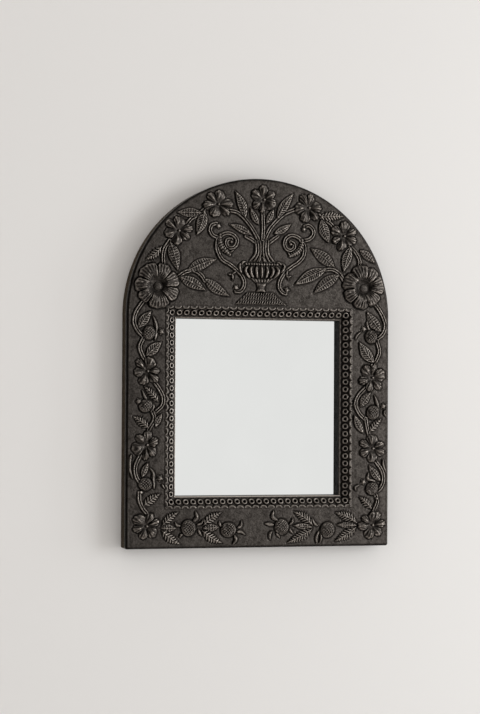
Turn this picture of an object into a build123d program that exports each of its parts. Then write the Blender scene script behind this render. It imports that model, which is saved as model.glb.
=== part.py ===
from build123d import *
import math
import os

os.makedirs("parts", exist_ok=True)

# Wall mirror with an arched head: an embossed tin sheet worked over a wooden core.
# Sketches are drawn on upright planes that face the room (-Y), so a sketch's first
# coordinate runs to the right (+X) and its second runs up (+Z). A "depth" is a distance
# in front of the wall side of the wooden core. Heights are taken from the bottom edge.
# The finished pieces are moved so that the origin is where the wall hook carries the ring.

# Overall outline
WIDTH = 380.0
SIDE_HEIGHT = 318.0
FRAME_DEPTH = 25.0
CORNER_RADIUS = 3.0

# Tin
TIN = 0.6
ROLL_RADIUS = 2.0
SKIRT = 7.0
REAR_FLANGE = 10.0
SEAM_GAP = 0.4

# Mirror opening, measured at the lip of the sloping sight edge
OPENING_WIDTH = 237.0
OPENING_HEIGHT = 243.0
OPENING_BOTTOM = 71.0
SLOPE_WIDTH = 12.5
SLOPE_DROP = 7.0
BEVEL_WIDTH = 4.0
BEVEL_DROP = 1.0
LINER_TIN = 0.8
LINER_FLANGE = 6.0

# What fills the rebate
GLASS_DEPTH = 7.0
GLASS_THICKNESS = 3.0
HARDBOARD_THICKNESS = 3.0
REBATE_WIDTH = 7.0
REBATE_CLEARANCE = 0.8

# Punched border of the sight edge
RINGS_ACROSS = 24
RINGS_UP = 25
RING_OUTER_RADIUS = 3.7
RING_HOLE_RADIUS = 1.3
RING_HEIGHT = 0.8
RING_FROM_LIP = 7.5
LOBE_REACH = 3.5
LOBE_OVERLAP = 0.15

# Embossing: how far the forms stand out, and how much their sides lean in
LEAF_HEIGHT = 3.0
PETAL_HEIGHT = 5.0
EYE_HEIGHT = 1.8
RUFFLE_HEIGHT = 7.0
FRUIT_HEIGHT = 5.0
VASE_HEIGHT = 3.8
STEM_HEIGHT = 2.4
STEM_WIDTH = 4.0
SIDE_LEAN = 0.45

# Flowers, as shares of their radius: where a petal's middle lies, and half its length and width
PETALS = 6
EYE_SHARE = 0.2
FLOWER_PETAL_SHARES = (0.58, 0.42, 0.27)
RUFFLED_PETAL_SHARES = (0.62, 0.38, 0.33)

# Wood joints
DOWEL_RADIUS = 4.0
DOWEL_LENGTH = 40.0
DOWEL_DEPTH = 9.0
HEAD_DOWEL_OFFSETS = (145.0, 172.0)
RAIL_DOWEL_HEIGHTS = (16.0, 42.0)
WOOD_ARRIS = 2.0

# Fasteners: radii are of the shank and the head
TACK_SHANK_RADIUS = 0.7
TACK_HEAD_RADIUS = 2.5
TACK_HEAD_HEIGHT = 1.0
TACK_LENGTH = 9.0
TACK_SPACING = 62.0
HEAD_ROUNDING = 0.6
SCREW_SHANK_RADIUS = 1.75
SCREW_HEAD_RADIUS = 3.5
SCREW_HEAD_HEIGHT = 1.6
SCREW_LENGTH = 12.0
DRIVE_SLOT_WIDTH = 0.9
DRIVE_SLOT_DEPTH = 0.8
HOLE_CLEARANCE = 0.05
RUNNING_CLEARANCE = 0.08

# Turn buttons
BUTTON_LENGTH = 36.0
BUTTON_WIDTH = 11.0
BUTTON_THICKNESS = 1.6
BUTTON_GAP = 0.1
BUTTON_FROM_REBATE = 9.0
BUTTON_SPREAD = 125.0

# Hanger
HANGER_HEIGHT = 455.0
RING_WIRE_RADIUS = 1.3
RING_BAR_LENGTH = 22.0
RING_REACH = 20.0
RING_CORNER_RADIUS = 3.5
STRAP_WIDTH = 14.0
STRAP_LENGTH = 34.0
STRAP_THICKNESS = 1.2
STRAP_SCREW_DROPS = (11.0, 27.5)

# Felt bumpers
BUMPER_RADIUS = 7.0
BUMPER_THICKNESS = 5.0
BUMPER_OFFSET = 160.0
BUMPER_HEIGHT = 27.0
BUMPER_ROUNDING = 1.0

# Sizes that follow
HALF_WIDTH = WIDTH / 2
CORE_INSET = 2 * TIN
FACE_DEPTH = FRAME_DEPTH
CORE_DEPTH = FACE_DEPTH - TIN
BEVEL_DEPTH = FACE_DEPTH - BEVEL_DROP
LIP_DEPTH = BEVEL_DEPTH - SLOPE_DROP
BORDER_WIDTH = SLOPE_WIDTH + BEVEL_WIDTH
OPENING_TOP = OPENING_BOTTOM + OPENING_HEIGHT
OPENING_MIDDLE = OPENING_BOTTOM + OPENING_HEIGHT / 2
PAD_THICKNESS = GLASS_DEPTH - GLASS_THICKNESS - HARDBOARD_THICKNESS
SLOPE_ANGLE = math.degrees(math.atan2(SLOPE_DROP, SLOPE_WIDTH))
STRAP_LOOP_RADIUS = RING_WIRE_RADIUS + RUNNING_CLEARANCE + STRAP_THICKNESS
HOOK_HEIGHT = HANGER_HEIGHT + RING_REACH - RING_WIRE_RADIUS
STILE_MIDDLE = (HALF_WIDTH + OPENING_WIDTH / 2 + BORDER_WIDTH) / 2

# The panels for which the ornament below is drawn. It spreads with the real ones.
DRAWN_ARCH_RADIUS = 190.0
DRAWN_STILE_MIDDLE = 162.5
DRAWN_OPENING_BOTTOM = 71.0
DRAWN_SIDE_HEIGHT = 318.0
ARCH_SPREAD = HALF_WIDTH / DRAWN_ARCH_RADIUS
STILE_SPREAD = (HALF_WIDTH - STILE_MIDDLE) / (DRAWN_ARCH_RADIUS - DRAWN_STILE_MIDDLE)
RAIL_SPREAD = OPENING_BOTTOM / DRAWN_OPENING_BOTTOM

# Ornament of the head, as (right of centre, above the springing line).
# Flowers and ruffled blossoms: centre, radius, turn in degrees.
HEAD_FLOWERS = [
    (3, 161, 19, 30),
    (-63, 153, 20.5, 12),
    (69, 152, 20, 8),
    (-119, 115, 20.5, 20),
    (121, 114, 19.5, 25),
]
HEAD_BLOSSOMS = [(-148, 40, 31, 20), (151, 43, 31, 5)]
# Leaves: where they leave the stem, tip, width
HEAD_LEAVES = [
    (-23, 134, -38, 172, 13),
    (-13, 111, -47, 126, 10),
    (-3, 126, -16, 150, 9),
    (-82, 145, -93, 109, 15),
    (-85, 140, -121, 140, 13),
    (-131, 101, -119, 60, 16),
    (-142, 93, -165, 74, 11),
    (-106, 60, -64, 77, 15),
    (-117, 52, -79, 34, 15),
    (-82, 51, -45, 27, 14),
    (23, 134, 47, 171, 13),
    (18, 114, 44, 129, 10),
    (7, 128, 18, 150, 9),
    (88, 137, 100, 103, 15),
    (84, 139, 122, 141, 14),
    (132, 100, 121, 63, 14),
    (145, 95, 168, 77, 11),
    (108, 70, 72, 96, 16),
    (96, 67, 49, 44, 16),
    (116, 60, 77, 33, 15),
    (39, 66, 41, 49, 6),
]
# Stems: the points that each one passes through
HEAD_STEMS = [
    [(-4, 106), (-16, 125), (-32, 141), (-48, 145)],
    [(5, 106), (14, 123), (32, 141), (51, 150)],
    [(2, 106), (3, 122), (2, 144)],
    [
        (-9, 106), (-20, 112), (-40, 116), (-58, 108), (-65, 92), (-54, 74),
        (-34, 59), (-24, 44), (-29, 33), (-38, 32), (-42, 38),
    ],
    [
        (12, 106), (24, 113), (44, 116), (60, 107), (65, 90), (56, 73),
        (35, 60), (27, 46), (29, 36), (36, 32), (41, 37),
    ],
    [(-61, 106), (-71, 109), (-77, 119), (-71, 129), (-62, 125)],
    [(61, 106), (71, 109), (77, 119), (70, 129), (62, 124)],
    [(-33, 110), (-32, 99), (-40, 91), (-50, 96), (-51, 105), (-43, 108)],
    [(34, 110), (32, 100), (39, 91), (50, 94), (52, 105), (44, 109)],
    [(-119, 52), (-108, 59), (-97, 61), (-87, 56), (-80, 47)],
    [(121, 53), (114, 62), (104, 67), (92, 66)],
    [(-108, 123), (-100, 132), (-90, 138), (-82, 145)],
    [(108, 124), (100, 132), (91, 137), (84, 142)],
    [(-131, 101), (-138, 90), (-140, 79), (-139, 68)],
    [(131, 100), (140, 90), (145, 80), (144, 71)],
]

# Ornament of the stiles, as (right of centre, above the bottom edge)
STILE_FLOWERS = [
    (-162, 241, 19.5, 10),
    (164, 235, 19.5, 14),
    (-162, 141, 19.5, 20),
    (165, 136, 19.5, 30),
]
STILE_LEAVES = [
    (-174, 299, -156, 323, 13),
    (-163, 261, -141, 281, 14),
    (-145, 199, -166, 221, 12),
    (-158, 163, -181, 180, 13),
    (-150, 165, -140, 184, 9),
    (-168, 97, -159, 118, 9),
    (-166, 58, -142, 75, 13),
    (-151, 283, -154, 316, 7),
    (-156, 186, -168, 215, 7),
    (-151, 82, -157, 110, 7),
    (178, 299, 156, 328, 15),
    (167, 255, 145, 285, 15),
    (147, 194, 163, 215, 12),
    (152, 157, 138, 184, 10),
    (160, 158, 179, 178, 11),
    (178, 90, 160, 113, 11),
    (165, 51, 146, 69, 12),
    (164, 298, 160, 317, 7),
    (172, 186, 168, 210, 7),
    (169, 82, 160, 102, 7),
]
STILE_FRUITS = [
    (-159, 293, 9.5),
    (-163, 194, 9.5),
    (-163, 88, 9.5),
    (163, 292, 9.5),
    (166, 186, 10),
    (165, 80, 9.5),
]
STILE_STEMS = [
    [(-166, 338), (-177, 322), (-180, 308), (-175, 296), (-167, 288)],
    [(-167, 286), (-172, 274), (-168, 262), (-163, 254), (-163, 246)],
    [(-157, 233), (-147, 221), (-139, 207), (-140, 195), (-149, 186)],
    [(-154, 188), (-151, 176), (-157, 165), (-160, 158)],
    [(-170, 128), (-177, 113), (-176, 99), (-169, 88)],
    [(-171, 77), (-171, 66), (-166, 55), (-161, 49)],
    [(167, 340), (179, 323), (184, 308), (180, 296), (171, 288)],
    [(171, 287), (175, 272), (171, 260), (165, 252)],
    [(155, 221), (144, 209), (140, 197), (146, 184), (154, 177)],
    [(155, 178), (157, 166), (160, 155)],
    [(169, 120), (179, 106), (182, 93), (178, 81), (170, 75)],
    [(169, 74), (173, 63), (168, 49)],
]

# Ornament of the bottom rail, as (right of centre, above the bottom edge)
RAIL_FLOWERS = [(-162, 31, 19.5, 15), (165, 29, 19.5, 10)]
RAIL_LEAVES = [
    (-140, 30, -116, 50, 12),
    (-141, 28, -119, 28, 9),
    (-140, 26, -113, 6, 13),
    (-82, 30, -55, 49, 13),
    (-82, 27, -58, 29, 9),
    (-83, 25, -54, 7, 13),
    (-96, 36, -92, 50, 7),
    (-37, 18, -38, 5, 6),
    (-33, 22, -21, 18, 6),
    (-32, 27, -26, 37, 6),
    (78, 29, 49, 49, 14),
    (77, 27, 48, 30, 9),
    (77, 25, 40, 6, 14),
    (143, 32, 110, 47, 15),
    (143, 29, 112, 30, 9),
    (142, 27, 110, 7, 14),
    (26, 37, 20, 50, 7),
    (20, 31, 8, 33, 7),
    (18, 22, 15, 11, 6),
    (88, 22, 84, 4, 6),
    (84, 29, 77, 39, 6),
]
RAIL_FRUITS = [(-102, 28, 11), (-45, 25, 11), (32, 28, 11), (99, 23, 11)]

# Vase at the foot of the head, as (right of centre, above the springing line)
VASE_CENTRE = 2.0
VASE_BASE_BOTTOM = 16.0
VASE_BASE_TOP = 33.0
VASE_BASE_HALF_WIDTHS = (39.0, 19.0)
VASE_FOOT_HALF_WIDTH = 6.0
VASE_BOWL_BOTTOM = 48.0
VASE_BOWL_TOP = 73.0
VASE_BOWL_HALF_WIDTH = 31.0
VASE_NECK_TOP = 107.0
VASE_NECK_HALF_WIDTHS = (17.0, 10.0, 14.0)
VASE_JOIN_OVERLAP = 1.0


# Placing helpers -------------------------------------------------------------------

def upright(depth):
    """The plane that faces the room at a distance in front of the core's wall side."""
    return Plane.XZ.offset(depth)


def plate(outline, back, front):
    """A flat piece with the given outline, between two depths."""
    return extrude(upright(back) * outline, amount=front - back)


def on_head(x, z):
    """A place on the head, from its drawn position over the springing line."""
    return x * ARCH_SPREAD, SIDE_HEIGHT + z * ARCH_SPREAD


def on_stile(x, z):
    """A place on a stile, from its drawn position."""
    side = math.copysign(1.0, x)
    up = SIDE_HEIGHT / DRAWN_SIDE_HEIGHT
    return side * (STILE_MIDDLE + (abs(x) - DRAWN_STILE_MIDDLE) * STILE_SPREAD), z * up


def on_rail(x, z):
    """A place on the bottom rail, from its drawn position."""
    return x * ARCH_SPREAD, z * RAIL_SPREAD


# Outlines --------------------------------------------------------------------------

def arch_outline(inset):
    """The arched outline, drawn in by a distance all round. Far in, its corners are sharp."""
    half = HALF_WIDTH - inset
    straight = Pos(0, (SIDE_HEIGHT + inset) / 2) * Rectangle(2 * half, SIDE_HEIGHT - inset)
    outline = straight + Pos(0, SIDE_HEIGHT) * Circle(half)
    corners = outline.vertices().sort_by(Axis.Y)[:2]
    radius = CORNER_RADIUS - inset
    return fillet(corners, radius) if radius > 0 else outline


def opening_outline(outset):
    """The mirror opening at the lip, grown by a distance all round."""
    size = (OPENING_WIDTH + 2 * outset, OPENING_HEIGHT + 2 * outset)
    return Pos(0, OPENING_MIDDLE) * Rectangle(*size)


def mitred_strip(start, end, reach, flare):
    """The strip on the left of an edge, mitred at both ends: wider with flare 1, narrower with -1."""
    along = (end - start).normalized()
    across = Vector(-along.Y, along.X)
    far_end = end + (across + along * flare) * reach
    far_start = start + (across - along * flare) * reach
    return make_face(Polyline(start, end, far_end, far_start, close=True))


def leaf_outline(length, width, inset):
    """A pointed leaf along the first axis, centred on the origin."""
    half_length = length / 2 - 2 * inset
    half_width = width / 2 - inset
    upper = ThreePointArc((-half_length, 0), (0, half_width), (half_length, 0))
    lower = ThreePointArc((half_length, 0), (0, -half_width), (-half_length, 0))
    return make_face([upper, lower])


# The embossed sheet ----------------------------------------------------------------

def rounded_block(inset, back, front, radius):
    """The arched block, with its edge towards the room rounded."""
    block = plate(arch_outline(inset), back, front)
    return fillet(block.edges().group_by(Axis.Y)[0], radius)


def sight_funnel(setback):
    """The space over the sight edge, its steep slope and its shallow bevel, pushed back by a distance."""
    lip = upright(LIP_DEPTH - setback) * opening_outline(0)
    turn = upright(BEVEL_DEPTH - setback) * opening_outline(SLOPE_WIDTH)
    brim = upright(FACE_DEPTH - setback) * opening_outline(BORDER_WIDTH)
    funnel = loft([lip, turn]) + loft([turn, brim])
    if setback > 0:
        funnel += plate(opening_outline(BORDER_WIDTH), FACE_DEPTH - setback, FACE_DEPTH)
    return funnel


def raised(outline, place, height):
    """An embossed form and the hollow behind it. The outline is a function of its inset."""
    def tapered(back, front, inset):
        foot = upright(back) * (place * outline(inset))
        crown = upright(front) * (place * outline(inset + height * SIDE_LEAN))
        return loft([foot, crown])

    top = FACE_DEPTH + height
    return tapered(CORE_DEPTH + TIN / 2, top, 0), tapered(CORE_DEPTH, top - TIN, TIN)


def leaf(base, tip, width):
    """A leaf from its base to its tip."""
    run, rise = tip[0] - base[0], tip[1] - base[1]
    length = math.hypot(run, rise)
    middle = Pos((base[0] + tip[0]) / 2, (base[1] + tip[1]) / 2)
    place = middle * Rot(0, 0, math.degrees(math.atan2(rise, run)))
    return raised(lambda inset: leaf_outline(length, width, inset), place, LEAF_HEIGHT)


def petals(centre, radius, turn, shares, height):
    """A round of petals, with their sizes as shares of the flower's radius."""
    reach, half_length, half_width = [radius * share for share in shares]

    def outline(inset):
        return Ellipse(half_length - inset, half_width - inset)

    turns = [turn + number * 360 / PETALS for number in range(PETALS)]
    return [raised(outline, Pos(*centre) * Rot(0, 0, angle) * Pos(reach, 0), height) for angle in turns]


def flower(centre, radius, turn):
    """Six petals round a small eye."""
    eye = raised(lambda inset: Circle(radius * EYE_SHARE - inset), Pos(*centre), EYE_HEIGHT)
    return [eye] + petals(centre, radius, turn, FLOWER_PETAL_SHARES, PETAL_HEIGHT)


def blossom(centre, radius, turn):
    """A large blossom of six ruffled petals round a deep throat."""
    return petals(centre, radius, turn, RUFFLED_PETAL_SHARES, RUFFLE_HEIGHT)


def fruit(centre, radius):
    """A round seed pod."""
    return raised(lambda inset: Circle(radius - inset), Pos(*centre), FRUIT_HEIGHT)


def stem(points):
    """A ribbon through the given points."""
    return plate(trace(Spline(*points), STEM_WIDTH), CORE_DEPTH + TIN / 2, FACE_DEPTH + STEM_HEIGHT)


def vase():
    """The vase: stepped base, foot, bowl and flared neck."""
    def polygon(corners):
        return make_face(Polyline(*corners, close=True))

    def base(inset):
        wide, narrow = [half - 2 * inset for half in VASE_BASE_HALF_WIDTHS]
        low, high = VASE_BASE_BOTTOM + inset, VASE_BASE_TOP - inset
        return polygon([(-wide, low), (wide, low), (narrow, high), (-narrow, high)])

    def foot(inset):
        low, high = VASE_BASE_TOP - VASE_JOIN_OVERLAP, VASE_BOWL_BOTTOM + 2 * VASE_JOIN_OVERLAP
        size = (2 * (VASE_FOOT_HALF_WIDTH - inset), high - low - 2 * inset)
        return Pos(0, (low + high) / 2) * Rectangle(*size)

    def bowl(inset):
        rim_half = VASE_BOWL_HALF_WIDTH - inset
        low, high = VASE_BOWL_BOTTOM + inset, VASE_BOWL_TOP - inset
        rim = Line((rim_half, high), (-rim_half, high))
        body = ThreePointArc((-rim_half, high), (0, low), (rim_half, high))
        return make_face([rim, body])

    def neck(inset):
        low_half, waist_half, high_half = [half - inset for half in VASE_NECK_HALF_WIDTHS]
        low, high = VASE_BOWL_TOP - VASE_JOIN_OVERLAP + inset, VASE_NECK_TOP - inset
        middle = (low + high) / 2
        right = ThreePointArc((low_half, low), (waist_half, middle), (high_half, high))
        left = ThreePointArc((-high_half, high), (-waist_half, middle), (-low_half, low))
        top = Line((high_half, high), (-high_half, high))
        bottom = Line((-low_half, low), (low_half, low))
        return make_face([right, top, left, bottom])

    place = Pos(*on_head(VASE_CENTRE, 0))
    return [raised(outline, place, VASE_HEIGHT) for outline in (base, foot, bowl, neck)]


def ornament():
    """All raised forms with the hollows behind them, and the stems."""
    forms = []
    for where, leaves in ((on_head, HEAD_LEAVES), (on_stile, STILE_LEAVES), (on_rail, RAIL_LEAVES)):
        for base_x, base_z, tip_x, tip_z, width in leaves:
            forms.append(leaf(where(base_x, base_z), where(tip_x, tip_z), width))
    for where, flowers in ((on_head, HEAD_FLOWERS), (on_stile, STILE_FLOWERS), (on_rail, RAIL_FLOWERS)):
        for x, z, radius, turn in flowers:
            forms += flower(where(x, z), radius, turn)
    for x, z, radius, turn in HEAD_BLOSSOMS:
        forms += blossom(on_head(x, z), radius, turn)
    for where, fruits in ((on_stile, STILE_FRUITS), (on_rail, RAIL_FRUITS)):
        for x, z, radius in fruits:
            forms.append(fruit(where(x, z), radius))
    forms += vase()
    stems = [stem([on_head(*point) for point in points]) for points in HEAD_STEMS]
    stems += [stem([on_stile(*point) for point in points]) for points in STILE_STEMS]
    return forms, stems


def border_places(outset, across, up):
    """Evenly spaced points round the opening at a distance outside its lip, with the way in."""
    half_width = OPENING_WIDTH / 2 + outset
    low, high = OPENING_BOTTOM - outset, OPENING_TOP + outset
    places = []
    for number in range(across + 1):
        x = -half_width + number * 2 * half_width / across
        places += [(x, low, 90), (x, high, -90)]
    for number in range(1, up):
        z = low + number * (high - low) / up
        places += [(-half_width, z, 0), (half_width, z, 180)]
    return places


def punched_rings():
    """The row of rings on the slope, and the pricks in their middles."""
    depth = LIP_DEPTH + SLOPE_DROP * RING_FROM_LIP / SLOPE_WIDTH
    rings = []
    pricks = []
    for x, z, inward in border_places(RING_FROM_LIP, RINGS_ACROSS, RINGS_UP):
        place = upright(depth).location * Pos(x, z) * Rot(0, 0, inward) * Rot(0, SLOPE_ANGLE, 0)
        rings.append(place * Pos(0, 0, RING_HEIGHT / 2) * Cylinder(RING_OUTER_RADIUS, RING_HEIGHT + TIN))
        pricks.append(place * Pos(0, 0, RING_HEIGHT) * Cylinder(RING_HOLE_RADIUS, 2 * RING_HEIGHT))
    return rings[0].fuse(*rings[1:]) & sight_funnel(TIN / 2), pricks


def scallops():
    """The row of lobes by which the flat face overhangs the bevel."""
    half_width = OPENING_WIDTH / 2 + BORDER_WIDTH
    low, high = OPENING_BOTTOM - BORDER_WIDTH, OPENING_TOP + BORDER_WIDTH
    across = 2 * half_width / RINGS_ACROSS
    up = (high - low) / RINGS_UP
    lying = Ellipse(across / 2 + LOBE_OVERLAP, LOBE_REACH)
    standing = Ellipse(LOBE_REACH, up / 2 + LOBE_OVERLAP)
    lobes = []
    for number in range(RINGS_ACROSS):
        x = -half_width + (number + 0.5) * across
        lobes += [Pos(x, low) * lying, Pos(x, high) * lying]
    for number in range(RINGS_UP):
        z = low + (number + 0.5) * up
        lobes += [Pos(-half_width, z) * standing, Pos(half_width, z) * standing]
    blocks = [plate(lobe, BEVEL_DEPTH, FACE_DEPTH) for lobe in lobes]
    return blocks[0].fuse(*blocks[1:]) & sight_funnel(TIN / 2)


def embossed_face_sheet():
    """The worked sheet: rolled skirt, flat face, ornament, scallops, slope and rings."""
    shell = rounded_block(0, FACE_DEPTH - SKIRT, FACE_DEPTH, ROLL_RADIUS)
    shell -= rounded_block(TIN, FACE_DEPTH - SKIRT, CORE_DEPTH, ROLL_RADIUS - TIN)
    shell += sight_funnel(TIN)
    shell -= sight_funnel(0)
    shell -= plate(opening_outline(0), 0, FACE_DEPTH)
    forms, stems = ornament()
    rings, pricks = punched_rings()
    sheet = shell.fuse(rings, scallops())
    sheet = sheet.fuse(*stems)
    sheet = sheet.fuse(*[form for form, hollow in forms])
    sheet = sheet.cut(*[hollow for form, hollow in forms])
    return sheet.cut(*pricks)


# Bands round the edge --------------------------------------------------------------

def edge_bands():
    """The strip round the arch and sides, and the strip under the bottom."""
    front = FACE_DEPTH - ROLL_RADIUS - SEAM_GAP
    strip = plate(arch_outline(TIN), -TIN, front) - plate(arch_outline(CORE_INSET), 0, front)
    strip -= plate(arch_outline(TIN + REAR_FLANGE), -TIN, 0)
    wedge = mitred_strip(Vector(-HALF_WIDTH, 0), Vector(HALF_WIDTH, 0), 2 * REAR_FLANGE, -1)
    bottom = plate(wedge, -TIN, FACE_DEPTH)
    return strip - bottom, strip & bottom


def tack_places():
    """Where the tacks go through the rear flange, from the bottom edge round to the arch."""
    inset = TIN + REAR_FLANGE / 2
    reach = HALF_WIDTH - inset
    across = round(2 * reach / TACK_SPACING)
    places = [(-reach + (number + 0.5) * 2 * reach / across, inset) for number in range(across)]
    up = round(SIDE_HEIGHT / TACK_SPACING)
    for number in range(up):
        z = (number + 0.5) * SIDE_HEIGHT / up
        places += [(-reach, z), (reach, z)]
    round_arch = round(math.pi * reach / TACK_SPACING)
    for number in range(round_arch):
        angle = math.pi * (number + 0.5) / round_arch
        places.append((reach * math.cos(angle), SIDE_HEIGHT + reach * math.sin(angle)))
    return places


def rear_shanks(places, radius, length, back):
    """Plain shanks that go in from the wall side."""
    return [plate(Pos(x, z) * Circle(radius), back, length) for x, z in places]


def band_tacks():
    """The tacks with their flat heads behind the flange."""
    tacks = []
    for x, z in tack_places():
        shank = plate(Pos(x, z) * Circle(TACK_SHANK_RADIUS), -TIN, TACK_LENGTH)
        head = plate(Pos(x, z) * Circle(TACK_HEAD_RADIUS), -TIN - TACK_HEAD_HEIGHT, -TIN)
        head = fillet(head.edges().group_by(Axis.Y)[-1], TACK_HEAD_HEIGHT * HEAD_ROUNDING)
        tacks.append(shank + head)
    return tacks


# Wooden core -----------------------------------------------------------------------

def button_places():
    """Where the turn buttons' screws stand, and the turn of each button."""
    side = OPENING_WIDTH / 2 + REBATE_WIDTH + BUTTON_FROM_REBATE
    spread = BUTTON_SPREAD / 2
    top = OPENING_TOP + REBATE_WIDTH + BUTTON_FROM_REBATE
    bottom = OPENING_BOTTOM - REBATE_WIDTH - BUTTON_FROM_REBATE
    return [
        (-side, OPENING_MIDDLE - spread, 0),
        (-side, OPENING_MIDDLE + spread, 0),
        (side, OPENING_MIDDLE - spread, 0),
        (side, OPENING_MIDDLE + spread, 0),
        (0, bottom, 90),
        (0, top, 90),
    ]


def dowels():
    """Dowels between the head and the stiles, and between the rail and the stiles."""
    joint = OPENING_TOP + LINER_TIN
    side = OPENING_WIDTH / 2 + LINER_TIN
    upright_dowel = Cylinder(DOWEL_RADIUS, DOWEL_LENGTH)
    lying_dowel = Rot(0, 90, 0) * Cylinder(DOWEL_RADIUS, DOWEL_LENGTH)
    pieces = []
    for hand in (-1, 1):
        for offset in HEAD_DOWEL_OFFSETS:
            pieces.append(Pos(hand * offset, -DOWEL_DEPTH, joint) * upright_dowel)
        for height in RAIL_DOWEL_HEIGHTS:
            pieces.append(Pos(hand * side, -DOWEL_DEPTH, height) * lying_dowel)
    return pieces


def core_boards():
    """The head, the two stiles and the bottom rail, with every hole that is drilled in them."""
    core = rounded_block(CORE_INSET, 0, CORE_DEPTH, WOOD_ARRIS)
    core -= plate(opening_outline(LINER_TIN), 0, CORE_DEPTH)
    core -= sight_funnel(TIN)
    core -= plate(opening_outline(REBATE_WIDTH), 0, GLASS_DEPTH + LINER_TIN)
    drilled = dowels()
    drilled += rear_shanks(tack_places(), TACK_SHANK_RADIUS + HOLE_CLEARANCE, TACK_LENGTH, 0)
    screws = [(x, z) for x, z, turn in button_places()] + strap_screw_places()
    drilled += rear_shanks(screws, SCREW_SHANK_RADIUS + HOLE_CLEARANCE, SCREW_LENGTH, 0)
    core = core.cut(*drilled)

    joint = OPENING_TOP + LINER_TIN
    side = OPENING_WIDTH / 2 + LINER_TIN
    arch_top = SIDE_HEIGHT + HALF_WIDTH
    above = Pos(0, (joint + arch_top) / 2) * Rectangle(WIDTH, arch_top - joint)
    stile_width = HALF_WIDTH - side
    right = Pos(side + stile_width / 2, joint / 2) * Rectangle(stile_width, joint)
    left = Pos(-side - stile_width / 2, joint / 2) * Rectangle(stile_width, joint)
    below = Pos(0, joint / 2) * Rectangle(2 * side, joint)
    return {
        "head_board": core & plate(above, 0, FRAME_DEPTH),
        "left_stile_board": core & plate(left, 0, FRAME_DEPTH),
        "right_stile_board": core & plate(right, 0, FRAME_DEPTH),
        "bottom_rail_board": core & plate(below, 0, FRAME_DEPTH),
    }


# Mirror and backing ----------------------------------------------------------------

def sight_liners():
    """Four folded strips, mitred at the corners: a wall at the opening, and a foot behind the wood."""
    wall = plate(opening_outline(LINER_TIN) - opening_outline(0), GLASS_DEPTH, LIP_DEPTH - TIN)
    foot_outline = opening_outline(LINER_FLANGE) - opening_outline(0)
    frame = wall + plate(foot_outline, GLASS_DEPTH, GLASS_DEPTH + LINER_TIN)
    half = OPENING_WIDTH / 2
    corners = {
        "bottom": (Vector(half, OPENING_BOTTOM), Vector(-half, OPENING_BOTTOM)),
        "left": (Vector(-half, OPENING_BOTTOM), Vector(-half, OPENING_TOP)),
        "top": (Vector(-half, OPENING_TOP), Vector(half, OPENING_TOP)),
        "right": (Vector(half, OPENING_TOP), Vector(half, OPENING_BOTTOM)),
    }
    liners = {}
    for name, (start, end) in corners.items():
        strip = plate(mitred_strip(start, end, 2 * LINER_FLANGE, 1), 0, FRAME_DEPTH)
        liners["sight_liner_" + name] = frame & strip
    return liners


def rebate_panel(back, front):
    """A panel that lies in the rebate."""
    return plate(opening_outline(REBATE_WIDTH - REBATE_CLEARANCE), back, front)


# Turn buttons ----------------------------------------------------------------------

def turn_button(x, z, turn):
    """A flat steel button with rounded ends and a hole in its middle."""
    outline = SlotOverall(BUTTON_LENGTH, BUTTON_WIDTH) - Circle(SCREW_SHANK_RADIUS + RUNNING_CLEARANCE)
    button = plate(outline, -BUTTON_GAP - BUTTON_THICKNESS, -BUTTON_GAP)
    return Pos(x, 0, z) * Rot(0, turn, 0) * button


def slotted_screws(places, head_back):
    """Round-headed screws that go in from the wall side. The head starts at a depth behind the wood."""
    screws = []
    for x, z in places:
        shank = plate(Pos(x, z) * Circle(SCREW_SHANK_RADIUS), head_back, SCREW_LENGTH)
        head = plate(Pos(x, z) * Circle(SCREW_HEAD_RADIUS), head_back - SCREW_HEAD_HEIGHT, head_back)
        head = fillet(head.edges().group_by(Axis.Y)[-1], SCREW_HEAD_HEIGHT * HEAD_ROUNDING)
        slot = Pos(x, z) * Rectangle(2 * SCREW_HEAD_RADIUS, DRIVE_SLOT_WIDTH)
        slot_back = head_back - SCREW_HEAD_HEIGHT
        screws.append(shank + head - plate(slot, slot_back, slot_back + DRIVE_SLOT_DEPTH))
    return screws


# Hanger ----------------------------------------------------------------------------

def strap_screw_places():
    """Where the strap's two screws stand."""
    return [(0, HANGER_HEIGHT - drop) for drop in STRAP_SCREW_DROPS]


def hanger_strap():
    """The strap, folded round the bar of the ring and screwed flat to the head board."""
    half = STRAP_WIDTH / 2
    tail = HANGER_HEIGHT - STRAP_LENGTH + half
    flat = Pos(0, (HANGER_HEIGHT + tail) / 2) * Rectangle(STRAP_WIDTH, HANGER_HEIGHT - tail)
    outline = flat + Pos(0, tail) * Circle(half)
    for x, z in strap_screw_places():
        outline -= Pos(x, z) * Circle(SCREW_SHANK_RADIUS + HOLE_CLEARANCE)
    bar = Pos(0, STRAP_LOOP_RADIUS, HANGER_HEIGHT) * Rot(0, 90, 0)
    strap = plate(outline, -STRAP_THICKNESS, 0) + bar * Cylinder(STRAP_LOOP_RADIUS, STRAP_WIDTH)
    return strap - bar * Cylinder(RING_WIRE_RADIUS + RUNNING_CLEARANCE, STRAP_WIDTH)


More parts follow.
